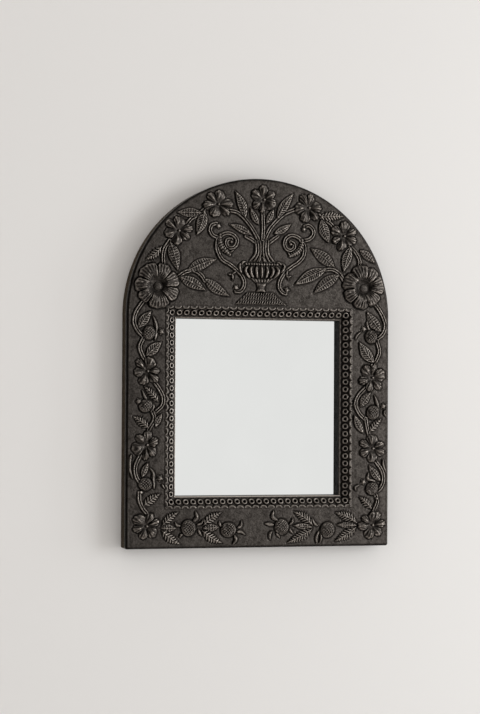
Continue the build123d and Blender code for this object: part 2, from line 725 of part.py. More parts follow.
def hanger_ring():
    """A wire ring with one straight bar, standing up as it does on the hook."""
    half = RING_BAR_LENGTH / 2
    shoulder = RING_REACH - half
    route = [
        Line((-half + RING_CORNER_RADIUS, 0), (half - RING_CORNER_RADIUS, 0)),
        RadiusArc((half - RING_CORNER_RADIUS, 0), (half, RING_CORNER_RADIUS), -RING_CORNER_RADIUS),
        Line((half, RING_CORNER_RADIUS), (half, shoulder)),
        RadiusArc((half, shoulder), (-half, shoulder), -half),
        Line((-half, shoulder), (-half, RING_CORNER_RADIUS)),
        RadiusArc((-half, RING_CORNER_RADIUS), (-half + RING_CORNER_RADIUS, 0), -RING_CORNER_RADIUS),
    ]
    path = Wire(route)
    section = Plane(origin=(0, 0, 0), z_dir=(1, 0, 0)) * Circle(RING_WIRE_RADIUS)
    ring = sweep(section, path=path)
    return Pos(0, STRAP_LOOP_RADIUS, HANGER_HEIGHT) * (Plane.XZ * ring)


# Felt bumpers ----------------------------------------------------------------------

def wall_bumper(x):
    """A round felt pad on the wall side of the core."""
    pad = plate(Pos(x, BUMPER_HEIGHT) * Circle(BUMPER_RADIUS), -BUMPER_THICKNESS, 0)
    return fillet(pad.edges().group_by(Axis.Y)[-1], BUMPER_ROUNDING)


# Assembly --------------------------------------------------------------------------

def all_pieces():
    """Every piece under its name, in the mirror's own frame."""
    side_band, bottom_band = edge_bands()
    flange_holes = rear_shanks(tack_places(), TACK_SHANK_RADIUS + HOLE_CLEARANCE, TACK_LENGTH, -TIN)
    head_back = -BUTTON_GAP - BUTTON_THICKNESS - BUTTON_GAP
    pieces = {
        "embossed_face_sheet": embossed_face_sheet(),
        "side_band": side_band.cut(*flange_holes),
        "bottom_band": bottom_band.cut(*flange_holes),
        "band_tacks": band_tacks(),
        "frame_dowels": dowels(),
        "mirror_glass": rebate_panel(GLASS_DEPTH - GLASS_THICKNESS, GLASS_DEPTH),
        "backing_pad": rebate_panel(HARDBOARD_THICKNESS, HARDBOARD_THICKNESS + PAD_THICKNESS),
        "backing_board": rebate_panel(0, HARDBOARD_THICKNESS),
        "turn_button_screws": slotted_screws([(x, z) for x, z, turn in button_places()], head_back),
        "hanger_strap": hanger_strap(),
        "hanger_ring": hanger_ring(),
        "hanger_screws": slotted_screws(strap_screw_places(), -STRAP_THICKNESS),
        "wall_bumper_left": wall_bumper(-BUMPER_OFFSET),
        "wall_bumper_right": wall_bumper(BUMPER_OFFSET),
    }
    pieces.update(core_boards())
    pieces.update(sight_liners())
    for number, (x, z, turn) in enumerate(button_places(), start=1):
        pieces[f"turn_button_{number}"] = turn_button(x, z, turn)
    return pieces


to_hook = Pos(0, -STRAP_LOOP_RADIUS, -HOOK_HEIGHT)
for name, piece in all_pieces().items():
    shapes = piece if isinstance(piece, list) else [piece]
    solids = [to_hook * solid for shape in shapes for solid in shape.solids()]
    export_step(Compound(solids) if len(solids) > 1 else solids[0], f"parts/{name}.step")
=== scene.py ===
import math

import bpy
import numpy as np
from mathutils import Matrix, Vector


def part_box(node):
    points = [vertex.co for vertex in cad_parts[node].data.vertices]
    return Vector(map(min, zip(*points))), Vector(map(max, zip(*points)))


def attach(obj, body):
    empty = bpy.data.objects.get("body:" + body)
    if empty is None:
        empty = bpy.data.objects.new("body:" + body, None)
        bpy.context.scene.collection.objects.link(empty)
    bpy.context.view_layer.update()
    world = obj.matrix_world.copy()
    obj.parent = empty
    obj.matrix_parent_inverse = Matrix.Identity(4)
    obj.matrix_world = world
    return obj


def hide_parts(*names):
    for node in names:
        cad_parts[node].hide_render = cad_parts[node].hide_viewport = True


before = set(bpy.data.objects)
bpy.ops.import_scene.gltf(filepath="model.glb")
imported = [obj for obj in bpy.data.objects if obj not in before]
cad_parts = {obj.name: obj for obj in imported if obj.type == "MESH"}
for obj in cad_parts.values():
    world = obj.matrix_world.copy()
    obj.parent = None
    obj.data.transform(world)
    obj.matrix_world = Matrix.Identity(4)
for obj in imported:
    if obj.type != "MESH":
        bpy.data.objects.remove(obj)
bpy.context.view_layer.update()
scene = bpy.context.scene

# Wall mirror of antiqued tin. The worked sheet is a relief over the flat face, kept as
# heights on a fine grid. Its coordinates are millimetres: right of the centre line, and
# up from the bottom edge. Heights of the relief are millimetres in front of the face.
MM = 0.001
TURN = 2 * math.pi
TIN = 0.6
HALF_WIDTH = 190.0
SIDE_HEIGHT = 318.0
CORNER_RADIUS = 3.0
OPENING_WIDTH = 237.0
OPENING_HEIGHT = 243.0
OPENING_BOTTOM = 71.0
SLOPE_WIDTH = 12.5
SLOPE_DROP = 7.0
BEVEL_WIDTH = 4.0
BEVEL_DROP = 1.0
RINGS_ACROSS = 24
RINGS_UP = 25
RING_FROM_LIP = 7.5

HALF_OPENING = OPENING_WIDTH / 2
HALF_HEIGHT = OPENING_HEIGHT / 2
OPENING_MIDDLE = OPENING_BOTTOM + HALF_HEIGHT
OPENING_TOP = OPENING_BOTTOM + OPENING_HEIGHT
BORDER_WIDTH = SLOPE_WIDTH + BEVEL_WIDTH
BOTTOM_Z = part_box("embossed_face_sheet")[0].z
FACE_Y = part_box("head_board")[0].y - TIN * MM

# The grid: its coarse cells line up with the opening
FINE = 16
COARSE_ACROSS, COARSE_UP = 37, 38
COARSE_SIDE, COARSE_BELOW, COARSE_ABOVE = 12, 12, 31
STEP_U = OPENING_WIDTH / (COARSE_ACROSS * FINE)
STEP_H = OPENING_HEIGHT / (COARSE_UP * FINE)
COLUMNS = (COARSE_ACROSS + 2 * COARSE_SIDE) * FINE
ROWS = (COARSE_UP + COARSE_BELOW + COARSE_ABOVE) * FINE
us = -HALF_OPENING + STEP_U * (np.arange(COLUMNS + 1) - COARSE_SIDE * FINE)
hs = OPENING_BOTTOM + STEP_H * (np.arange(ROWS + 1) - COARSE_BELOW * FINE)
U, H = np.meshgrid(us, hs)

# The mesh keeps this near to the relief, and its rim starts this far inside the outline
TOLERANCE = 0.05
RIM_INSET = 4.5

# Ornament, as (right of centre, above the bottom edge).
# Flowers and ruffled blossoms: centre, radius, turn in degrees.
FLOWERS = [
    (3, 479, 19, 30), (-63, 471, 20.5, 12), (69, 470, 20, 8), (-119, 433, 20.5, 20), (121, 432, 19.5, 25),
    (-162, 241, 19.5, 10), (164, 235, 19.5, 14), (-162, 141, 19.5, 20), (165, 136, 19.5, 30),
    (-162, 31, 19.5, 15), (165, 29, 19.5, 10),
]
BLOSSOMS = [(-148, 358, 31, 20), (151, 361, 31, 5)]

# Leaves: where they leave the stem, tip, width, bend to the left, kind of chasing
LEAVES = [
    (-23, 452, -38, 490, 13, -2.5, "bars"), (-13, 429, -47, 444, 10, -1.5, "bars"),
    (-3, 444, -16, 468, 9, 1.0, "bars"), (-82, 463, -93, 427, 15, 2.0, "bars"),
    (-85, 458, -121, 458, 13, 0.0, "scales"), (-131, 419, -119, 378, 16, 1.0, "scales"),
    (-142, 411, -165, 392, 12, 2.0, "feather"), (-106, 378, -64, 395, 15, 2.0, "scales"),
    (-117, 370, -79, 352, 15, 1.0, "scales"), (-82, 369, -45, 345, 14, -2.0, "scales"),
    (23, 452, 47, 489, 13, 2.0, "bars"), (18, 432, 44, 447, 10, -1.0, "bars"),
    (7, 446, 18, 468, 9, -1.0, "bars"), (88, 455, 100, 421, 15, -1.5, "bars"),
    (84, 457, 122, 459, 14, 1.0, "feather"), (132, 418, 121, 381, 14, -1.0, "bars"),
    (145, 413, 168, 395, 11, 1.0, "scales"), (108, 388, 72, 414, 16, -1.0, "scales"),
    (96, 385, 49, 362, 16, -2.0, "bars"), (116, 378, 77, 351, 15, -2.0, "scales"),
    (-174, 299, -156, 323, 13, 1.0, "bars"), (-163, 261, -141, 281, 14, 1.0, "bars"),
    (-145, 199, -166, 221, 12, -1.0, "feather"), (-158, 163, -181, 180, 13, -1.0, "feather"),
    (-150, 165, -140, 184, 9, 1.0, "bars"), (-168, 97, -159, 118, 9, 0.5, "bars"),
    (-166, 58, -142, 75, 13, 1.0, "feather"), (178, 299, 156, 328, 15, 1.5, "scales"),
    (167, 255, 145, 285, 15, 1.5, "bars"), (147, 194, 163, 215, 12, 1.0, "scales"),
    (152, 157, 138, 184, 10, 1.5, "bars"), (160, 158, 179, 178, 11, 1.0, "feather"),
    (178, 90, 160, 113, 11, 0.5, "scales"), (165, 51, 146, 69, 12, -1.0, "feather"),
    (-140, 30, -116, 50, 12, 2.0, "feather"), (-141, 28, -119, 28, 11, 0.0, "scales"),
    (-140, 26, -113, 6, 13, -2.0, "feather"), (-82, 30, -55, 49, 13, 2.0, "feather"),
    (-82, 27, -58, 29, 11, 0.0, "scales"), (-83, 25, -54, 7, 13, -2.0, "feather"),
    (78, 29, 49, 49, 14, -2.0, "feather"), (77, 27, 48, 30, 9, 0.0, "bars"),
    (77, 25, 40, 6, 14, 1.0, "feather"), (143, 32, 110, 47, 15, -2.0, "feather"),
    (143, 29, 112, 30, 9, 0.0, "scales"), (142, 27, 110, 7, 14, 1.0, "feather"),
]

# Stems: the points that each one passes through
STEMS = [
    [(-4, 424), (-16, 443), (-32, 459), (-48, 463)], [(5, 424), (14, 441), (32, 459), (51, 468)],
    [(2, 424), (3, 440), (2, 462)], [(-8, 420), (-14, 424), (-22, 428)],
    [(12, 420), (17, 424), (24, 429)], [(-62, 425), (-69.5, 428), (-73.5, 435), (-71, 442), (-65, 444)],
    [(62, 424), (70, 426), (76, 432), (76, 439), (70, 445), (64, 444)],
    [
        (-36, 352), (-30, 352), (-25.5, 357), (-24, 365), (-28, 374), (-35, 381), (-44, 388), (-56, 395),
        (-62, 405), (-64, 414), (-62, 423), (-56, 429), (-48, 431.5), (-40, 429), (-35, 423), (-36, 416),
        (-41, 411.5), (-47, 412), (-50, 417), (-48.5, 422.5), (-43, 423),
    ],
    [
        (36, 350), (31, 352), (27, 358), (27.5, 367), (32, 375), (37, 381), (46, 388), (55, 394),
        (61.5, 402), (63.5, 411), (62, 419), (57, 426), (50, 430), (43, 430.5), (36.5, 426.5), (34, 419.5),
        (36.5, 412.5), (42.5, 410), (47.5, 413), (47.5, 419), (43, 421.5),
    ],
    [(-119, 370), (-108, 377), (-97, 379), (-87, 374), (-80, 365)],
    [(121, 371), (114, 380), (104, 385), (92, 384)], [(-108, 441), (-100, 450), (-90, 456), (-82, 463)],
    [(108, 442), (100, 450), (91, 455), (84, 460)], [(-131, 419), (-138, 408), (-140, 397), (-139, 386)],
    [(131, 418), (140, 408), (145, 398), (144, 389)],
    [(-166, 338), (-177, 322), (-180, 308), (-175, 296), (-167, 288)],
    [(-167, 286), (-172, 274), (-168, 262), (-163, 254), (-163, 246)],
    [(-157, 233), (-147, 221), (-139, 207), (-140, 195), (-149, 186)],
    [(-154, 188), (-151, 176), (-157, 165), (-160, 158)],
    [(-170, 128), (-177, 113), (-176, 99), (-169, 88)], [(-171, 77), (-171, 66), (-166, 55), (-161, 49)],
    [(167, 340), (179, 323), (184, 308), (180, 296), (171, 288)],
    [(171, 287), (175, 272), (171, 260), (165, 252)],
    [(155, 221), (144, 209), (140, 197), (146, 184), (154, 177)], [(155, 178), (157, 166), (160, 155)],
    [(169, 120), (179, 106), (182, 93), (178, 81), (170, 75)], [(169, 74), (173, 63), (168, 49)],
]

# Curved horns and small blades: points, width
HORNS = [
    ([(-151, 283), (-149, 297), (-150, 307), (-154, 316)], 5.5),
    ([(-156, 186), (-153, 194), (-163, 204), (-168, 215)], 5.5),
    ([(-151, 82), (-152, 94), (-152, 103), (-157, 110)], 5.5),
    ([(164, 298), (158, 304), (157, 311), (160, 317)], 5.5),
    ([(172, 186), (173, 195), (171, 203), (168, 210)], 5.5),
    ([(169, 82), (168, 89), (159, 94), (160, 102)], 5.5), ([(-183, 128), (-185, 112), (-181, 96)], 4.0),
    ([(181, 121), (182, 112), (186, 102)], 3.6), ([(-96, 36), (-90, 42), (-92, 50)], 6.0),
    ([(-37, 18), (-34, 12), (-38, 5)], 5.0), ([(26, 37), (19, 42), (20, 50)], 6.0),
    ([(88, 22), (83, 13), (84, 4)], 4.5), ([(88, 22), (90, 13), (87, 4)], 4.0),
    ([(-113, 31), (-118, 32), (-121, 36)], 4.0), ([(-110, 20), (-113, 18), (-114, 15)], 4.0),
    ([(-88, 26), (-86, 22), (-83, 17)], 4.0), ([(-90, 32), (-84, 34), (-81, 39)], 4.0),
    ([(-54, 29), (-57, 32), (-58, 37)], 4.0), ([(20, 31), (13, 32), (8, 33)], 6.0),
    ([(24, 20), (27, 17), (29, 13)], 4.0), ([(18, 22), (15, 18), (15, 11)], 4.5),
    ([(43, 31), (47, 34), (48, 40)], 4.0), ([(43, 26), (45, 23), (48, 19)], 4.0),
    ([(84, 29), (79, 33), (77, 39)], 4.5), ([(-33, 22), (-27, 22), (-21, 18)], 4.5),
    ([(-32, 27), (-27, 30), (-26, 37)], 4.5), ([(-140, 88), (-138, 85), (-136, 82)], 3.0),
    ([(141, 77), (140, 82), (146, 85)], 3.0), ([(139, 288), (142, 294), (148, 299)], 3.0),
    ([(184, 190), (183, 185), (186, 180)], 3.0), ([(-47, 375), (-42, 375), (-36, 379)], 4.0),
    ([(-42, 376), (-41, 373), (-41, 367)], 4.0), ([(38, 382), (37.5, 376), (40.5, 369)], 4.5),
    ([(37, 375), (40, 373), (44, 374.5)], 3.5), ([(-48, 409), (-46, 405), (-40, 408)], 4.0),
    ([(46, 407), (43, 403), (39, 407)], 4.0),
]

# Hatched husks that clasp the scrolls: points, width
HUSKS = [
    ([(-59, 429), (-59.5, 420), (-55, 411), (-45, 402)], 8.5),
    ([(60, 425), (59, 417), (54, 409), (42, 402)], 8.5),
]

# Round pods, and buds beside them: centre, radius
FRUITS = [
    (-159, 293, 9.5), (-163, 194, 9.5), (-163, 88, 9.5), (163, 292, 9.5), (166, 186, 10), (165, 80, 9.5),
    (-102, 28, 11), (-45, 25, 11), (32, 28, 11), (99, 23, 11),
]
BUDS = [
    (-142, 295, 5), (-173, 200, 4.5), (-143, 96, 5), (152, 303, 4.5), (181, 195, 4.5), (152, 89, 4.5),
    (-36, 357, 4.5), (37.5, 355, 4.5), (-61.5, 441, 4.0), (62.5, 440, 4.0), (-43, 419.5, 3.0),
    (43, 418.5, 3.0), (-169, 77, 3.5), (172, 66, 3),
]


# --- Fields on the grid

def smoothed(array, size):
    """The array blurred over a size in millimetres."""
    fu = np.fft.rfftfreq(array.shape[1], STEP_U)
    fh = np.fft.fftfreq(array.shape[0], STEP_H)[:, None]
    blur = np.exp(-2 * (np.pi * size) ** 2 * (fu**2 + fh**2))
    return np.fft.irfft2(np.fft.rfft2(array) * blur, array.shape)


def soft_noise(size, seed):
    """Noise with soft spots of a size in millimetres, mostly between -2 and 2."""
    soft = smoothed(np.random.default_rng(seed).standard_normal(U.shape), size)
    return soft / soft.std()


def from_silhouette(u, h):
    """How far a place lies inside the arched outline."""
    side = HALF_WIDTH - np.hypot(u, np.maximum(h - SIDE_HEIGHT, 0))
    cut_side, cut_bottom = CORNER_RADIUS - side, CORNER_RADIUS - h
    corner = CORNER_RADIUS - np.hypot(cut_side, cut_bottom)
    return np.where((cut_side > 0) & (cut_bottom > 0), corner, np.minimum(side, h))


def from_lip(u, h):
    """How far a place lies outside the mirror opening."""
    return np.maximum(np.abs(u) - HALF_OPENING, np.maximum(OPENING_BOTTOM - h, h - OPENING_TOP))


def bump(distance, width):
    """A smooth hump of height 1."""
    return np.exp(-((distance / width) ** 2))


def ramp(value, low, high):
    """From 0 to 1, smoothly."""
    part = np.clip((value - low) / (high - low), 0, 1)
    return part * part * (3 - 2 * part)


def rounded(inside, width):
    """The rise of an embossed form over its edge, from 0 to 1."""
    part = np.clip(inside / width, 0, 1)
    return np.sqrt(1 - (1 - part) ** 2)


def window(low_u, high_u, low_h, high_h):
    """A part of the grid, with its coordinates."""
    first_u, last_u = np.searchsorted(us, (low_u, high_u))
    first_h, last_h = np.searchsorted(hs, (low_h, high_h))
    part = (slice(first_h, last_h), slice(first_u, last_u))
    return part, U[part], H[part]


# --- The ornament's forms

# The face swells a little, and raised work is uneven. MARGIN is kept round a form for the
# line that is chased there.
FACE_SWELL = 0.15
UNEVENNESS = 0.32
CHASED_DEPTH = 0.5
MARGIN = 3.0

# A leaf's cuts, by their kind: pitch, and how wide an edge they leave
LEAF_CUTS = {"bars": (3.5, 1.0), "scales": (3.6, 0.45), "feather": (4.2, 0.0)}
CUT_DEPTH, CUT_SLANT = 1.3, 0.75
SCALE_WIDTH = 2.1

PETALS = 6
RUFFLES = 7
RIBS = 38
HUSK_TEETH = 9
FIRST_HATCH, SECOND_HATCH = 3.1, 2.8


def stamp(part, inside, height):
    """Puts a form over what is there. Its outline is chased into the ground round it."""
    line = CHASED_DEPTH * bump(-inside - 0.7, 0.8)
    under = np.maximum(relief[part] - 1.6 * line, ground[part] - CHASED_DEPTH)
    uneven = UNEVENNESS * dents[part] * ramp(height, 0.5, 4.0)
    relief[part] = np.where(inside > 0, ground[part] + height + uneven - line, under)


def around(centre, radius):
    """The part of the grid round a place, with the distances from it and the angle."""
    reach = radius + MARGIN
    part, u, h = window(centre[0] - reach, centre[0] + reach, centre[1] - reach, centre[1] + reach)
    du, dh = u - centre[0], h - centre[1]
    return part, du, dh, np.hypot(du, dh), np.arctan2(dh, du)


def leaf(base, tip, width, bend, kind, height=3.3):
    """A pointed leaf with a raised edge and midrib, chased with bars, scales or feathered cuts."""
    run, rise = tip[0] - base[0], tip[1] - base[1]
    length = math.hypot(run, rise)
    middle = ((base[0] + tip[0]) / 2, (base[1] + tip[1]) / 2)
    part, du, dh, _, _ = around(middle, length / 2 + abs(bend))
    along = (du * run + dh * rise) / length
    place = 2 * along / length
    held = np.clip(place, -1, 1)
    across = (dh * run - du * rise) / length - bend * (1 - held**2)
    off = np.abs(across)
    half = width / 2 * (1 - np.abs(held) ** 1.9) * (1 - 0.22 * held)
    pitch, rim = LEAF_CUTS[kind]
    turns = (along + length / 2 - CUT_SLANT * off) / pitch
    if kind == "scales":
        turns = turns + 0.5 * np.floor(off / SCALE_WIDTH)
    wave = np.cos(TURN * turns)
    if kind == "feather":
        half = half * (0.8 + 0.2 * wave)
    past = np.maximum(np.abs(place) - 1, 0) * length / 2
    inside = np.where(past > 0, -np.hypot(past, across), (half - off) * 0.9)
    body = height * (0.35 * rounded(inside, 0.9) + 0.65 * rounded(inside, 0.45 * width))
    body += 0.5 * bump(across, 0.6) * ramp(inside, 0.3, 1.2)
    body += 0.3 * rim * bump(inside - 1.1, 0.7)
    cut = ramp(inside, 0.9 * rim, 0.7 + 1.2 * rim) * ramp(off, 0.3, 1.0)
    body += CUT_DEPTH * (ramp(wave, -0.75, 0.35) - 1) * cut
    stamp(part, inside, body)


def petals(angle, turn, count, sway, phase):
    """Which petal each place lies in, and how far to its side, from -1 to 1."""
    drift = sway[0] * np.sin(2 * angle + 3 * phase[0]) + sway[1] * np.sin(3 * angle + 3 * phase[1])
    turned = (angle + drift - math.radians(turn)) * count / TURN
    return np.floor(turned + 0.5).astype(int) % count, 2 * ((turned + 0.5) % 1 - 0.5)


def flower(centre, radius, turn, height=5.7):
    """Six folded, wrinkled petals round a pricked eye."""
    part, du, dh, out, angle = around(centre, radius * 1.15)
    vary = np.random.default_rng(int(abs(centre[0]) * 7 + centre[1])).uniform(-1, 1, (4, PETALS))
    number, side = petals(angle, turn, PETALS, (0.13, 0.09), vary[3])
    long, lean, droop = vary[0][number], vary[1][number], vary[2][number]
    seam = np.abs(side)
    size = out / (radius * (1 + 0.09 * long))
    ragged = 0.02 * np.cos(np.pi * (4 * side + 2 * lean))
    inside = (1 - 0.30 * seam**2.4 - 0.03 * seam + ragged - size) * radius * 0.9
    fold = 1 - 0.9 * np.clip(np.abs(side - 0.3 * lean) / (1.0 + 0.3 * np.abs(lean)), 0, 1) ** 1.2
    rise = ramp(size, 0.05, 0.58) - (0.35 + 0.15 * droop) * ramp(size, 0.64, 1.02)
    crease = bump(side - 0.42 - 0.1 * droop, 0.13) + bump(side + 0.45 + 0.1 * long, 0.13)
    body = height * rise * fold - 0.8 * crease * ramp(size, 0.3, 0.5)
    body += 0.36 * np.cos(np.pi * (4.6 * side + droop)) * ramp(size, 0.3, 0.6)
    body = np.maximum(body, 0.5) * rounded(inside, 2.2)
    body = np.maximum(body, 0.8 * rounded(0.2 * radius - out, 1.5))
    body -= 1.2 * bump(np.hypot(du + 0.9, dh), 1.4)
    dot = 1.9 - np.hypot(du - 1.8, dh)
    body = np.where(dot > 0, np.maximum(body, 2.6 * rounded(dot, 1.6)), body)
    stamp(part, inside, body)


def blossom(centre, radius, turn, height=7.7):
    """Broad ruffled petals, each lapped over the next, round a deep throat with a boss."""
    part, du, dh, out, angle = around(centre, radius * 1.08)
    vary = np.random.default_rng(int(abs(centre[0]))).uniform(-1, 1, (3, RUFFLES))
    number, side = petals(angle, turn, RUFFLES, (0.10, 0.07), vary[2])
    seam = np.abs(side)
    size = out / radius
    reach = 1 + 0.035 * vary[0][number]
    inside = radius * (reach - 0.15 * seam**4) + 0.35 * np.sin(angle * RIBS / 2) - out
    top = 0.60 + 0.04 * vary[1][number] - 0.08 * seam**2
    inner = ramp(size, 0.17, top)
    outer = 1 - 0.5 * ramp(size, top, 1.02)
    body = height * inner * outer * (1 - 0.2 * seam**3) * rounded(inside, 3.0)
    body -= 1.3 * side * ramp(size, 0.25, 0.5) * rounded(inside, 4.0)
    body -= 1.6 * bump(seam - 1, 0.12) * ramp(size, 0.4, 0.6) * rounded(inside, 4.0)
    ribs = np.cos(angle * RIBS) * (1 - 0.8 * ramp(seam, 0.84, 1))
    body += 0.6 * ribs * ramp(size, 0.34, 0.52) * ramp(inside, 0.6, 3.0)
    boss = 6.0 - np.hypot(du - 1.0, dh + 1.5)
    throat = body - 0.4 * bump(boss + 1.2, 1.4)
    body = np.where(boss > 0, np.maximum(body, 1.6 * rounded(boss, 4.5)), throat)
    stamp(part, inside, np.clip(body, 0, height - UNEVENNESS))


def fruit(centre, radius, height=5.6):
    """A round pod, hatched over its middle."""
    part, du, dh, out, angle = around(centre, radius)
    inside = radius * (1 + 0.04 * np.cos(2 * angle + centre[1])) - out
    body = height * rounded(inside, radius * 0.85)
    bowed = du * 0.75 + dh * 0.65 + 0.05 * (du * 0.65 - dh * 0.75) ** 2
    hatch = 0.44 * np.cos(TURN * bowed / FIRST_HATCH)
    hatch += 0.4 * np.cos(TURN * (du * 0.7 - dh * 0.7) / SECOND_HATCH)
    body += hatch * (1 + 0.5 * dents[part]) * ramp(inside, 1.4, 3.0)
    stamp(part, inside, body)


def bud(centre, radius, height=3.3):
    """A small boss in a ring of sepals."""
    part, _, _, out, angle = around(centre, radius)
    inside = radius * (0.88 + 0.12 * np.cos(5 * angle + centre[0])) - out
    body = height * (0.35 * rounded(inside, 1.0) + 0.65 * rounded(0.62 * radius - out, 0.5 * radius))
    stamp(part, inside, body)


def smooth_path(points):
    """Places about a millimetre apart on a curve through the points."""
    points = np.array(points, float)
    knots = np.array([2 * points[0] - points[1], *points, 2 * points[-1] - points[-2]])
    places = []
    for before, start, end, after in zip(knots, knots[1:], knots[2:], knots[3:]):
        count = max(2, int(np.hypot(*(end - start))))
        t = (np.arange(count) / count)[:, None]
        places.append(0.5 * (
            2 * start + (end - before) * t
            + (2 * before - 5 * start + 4 * end - after) * t**2
            + (3 * start - before - 3 * end + after) * t**3
        ))
    return np.concatenate([*places, points[-1:]])


def to_segment(u, h, start, run, square):
    """How far along a segment each place is nearest to it, from 0 to 1, and the distance."""
    t = np.clip(((u - start[0]) * run[0] + (h - start[1]) * run[1]) / square, 0, 1)
    return t, np.hypot(u - start[0] - t * run[0], h - start[1] - t * run[1])


def near_path(points, width):
    """The part of the grid near a path: its distance from it, and how far along from 0 to 1."""
    path = smooth_path(points)
    margin = width / 2 + MARGIN
    low, high = path.min(0) - margin, path.max(0) + margin
    part, u, h = window(low[0], high[0], low[1], high[1])
    distance, along = np.full(u.shape, 1e9), np.zeros(u.shape)
    travelled = 0.0
    for start, end in zip(path[:-1], path[1:]):
        run = end - start
        length = np.hypot(*run)
        t, here = to_segment(u, h, start, run, length**2)
        along = np.where(here < distance, travelled + t * length, along)
        distance = np.minimum(distance, here)
        travelled += length
    return part, distance, np.clip(along / travelled, 0, 1)


def stem(points, width=5.4, height=2.9):
    """A ribbon of two ridges through the points."""
    part, distance, _ = near_path(points, width)
    inside = width / 2 - distance
    stamp(part, inside, height * rounded(inside, 1.1) * (1 - 0.7 * bump(distance, 0.8)))


def horn(points, width, height=3.3):
    """A curved blade that swells and ends in a point."""
    part, distance, along = near_path(points, width)
    half = width / 2 * (0.25 + 0.75 * np.sin(np.pi * along**0.75) ** 0.8)
    inside = half - distance
    stamp(part, inside, height * (0.4 * rounded(inside, 0.8) + 0.6 * np.clip(1 - distance / half, 0, 1)))


def husk(points, width, height=3.6):
    """A hatched blade with a ragged edge, broad at its middle."""
    part, distance, along = near_path(points, width)
    teeth = np.cos(TURN * along * HUSK_TEETH)
    half = width / 2 * (0.45 + 0.55 * np.sin(np.pi * along) ** 0.7) * (0.88 + 0.12 * teeth)
    inside = half - distance
    body = height * (0.5 * rounded(inside, 1.0) + 0.5 * rounded(inside, 0.5 * width))
    body += 0.8 * (teeth - 1) * ramp(inside, 0.2, 1.2) * ramp(distance, 0.2, 1.0)
    stamp(part, inside, body)


def ridge(points, width, height):
    """One rounded ridge with tapered ends."""
    part, distance, along = near_path(points, width)
    half = width / 2 * (0.55 + 0.45 * np.sin(np.pi * along) ** 0.6)
    inside = half - distance
    swell = 0.45 + 0.55 * np.sin(np.pi * along) ** 0.5
    stamp(part, inside, height * swell * rounded(inside, half.max()))


def inside_polygon(corners, u, h):
    """How far a place lies inside a closed outline."""
    corners = np.array(corners, float)
    distance = np.full(u.shape, 1e9)
    inner = np.zeros(u.shape, bool)
    for start, end in zip(corners, np.roll(corners, -1, axis=0)):
        run = end - start
        distance = np.minimum(distance, to_segment(u, h, start, run, run @ run)[1])
        if run[1]:
            spans = (start[1] > h) != (end[1] > h)
            inner ^= spans & (u < start[0] + (h - start[1]) * run[0] / run[1])
    return np.where(inner, distance, -distance)


# The vase: outlines and courses as (right of its centre line, above the bottom edge)
VASE_CENTRE = 1.2
VASE_REACH = 46
VASE_BOTTOM, VASE_TOP = 328, 432
BASE = [(-38, 334), (36, 334), (16, 351), (-21, 351)]
BASE_LEVEL = 334
BASE_STEP = 5.7
DASH_PITCH, DASH_SLANT = 3.5, 0.4
FOOT = [(-8, 351), (6, 351), (4, 357), (8, 365), (-9, 365), (-6, 357)]
CUP = [(-17, 371), (-9, 364), (9, 364), (19, 371)]
CUP_LEVEL = 365
BOWL_REACH, BOWL_BRIM, BOWL_DEPTH = 26, 387, 17
BOWL_RIBS = [-23.5, -16.2, -8.1, 0, 8.3, 16.4, 24.2]
RIB_COURSE = [(0.86, 387), (1.0, 382), (0.94, 376.5), (0.74, 371)]
NECK_FLUTES = [(1.7, 2.3, 6.0), (5.2, 6.2, 11.5), (8.7, 10.2, 18.0)]
NECK_WEDGE = [(1.0, 401), (3.0, 396), (4.0, 392)]
BRIM_BEADS = np.arange(-22, 23, 3.7)
BRIM_LEVEL = 389.8
# Handles and their curls, from the middle of the frame: points, width, height
HANDLES = [
    ([(-28, 391), (-30.5, 387), (-30.5, 382), (-28, 377)], 4.0, 3.6),
    ([(30, 392), (33.8, 388), (32.6, 383), (29.5, 378.5)], 4.0, 3.6),
    ([(-28, 388), (-26, 392), (-22, 393)], 3.2, 2.8),
    ([(30, 389), (27, 392), (23, 392.5)], 3.2, 2.8),
]


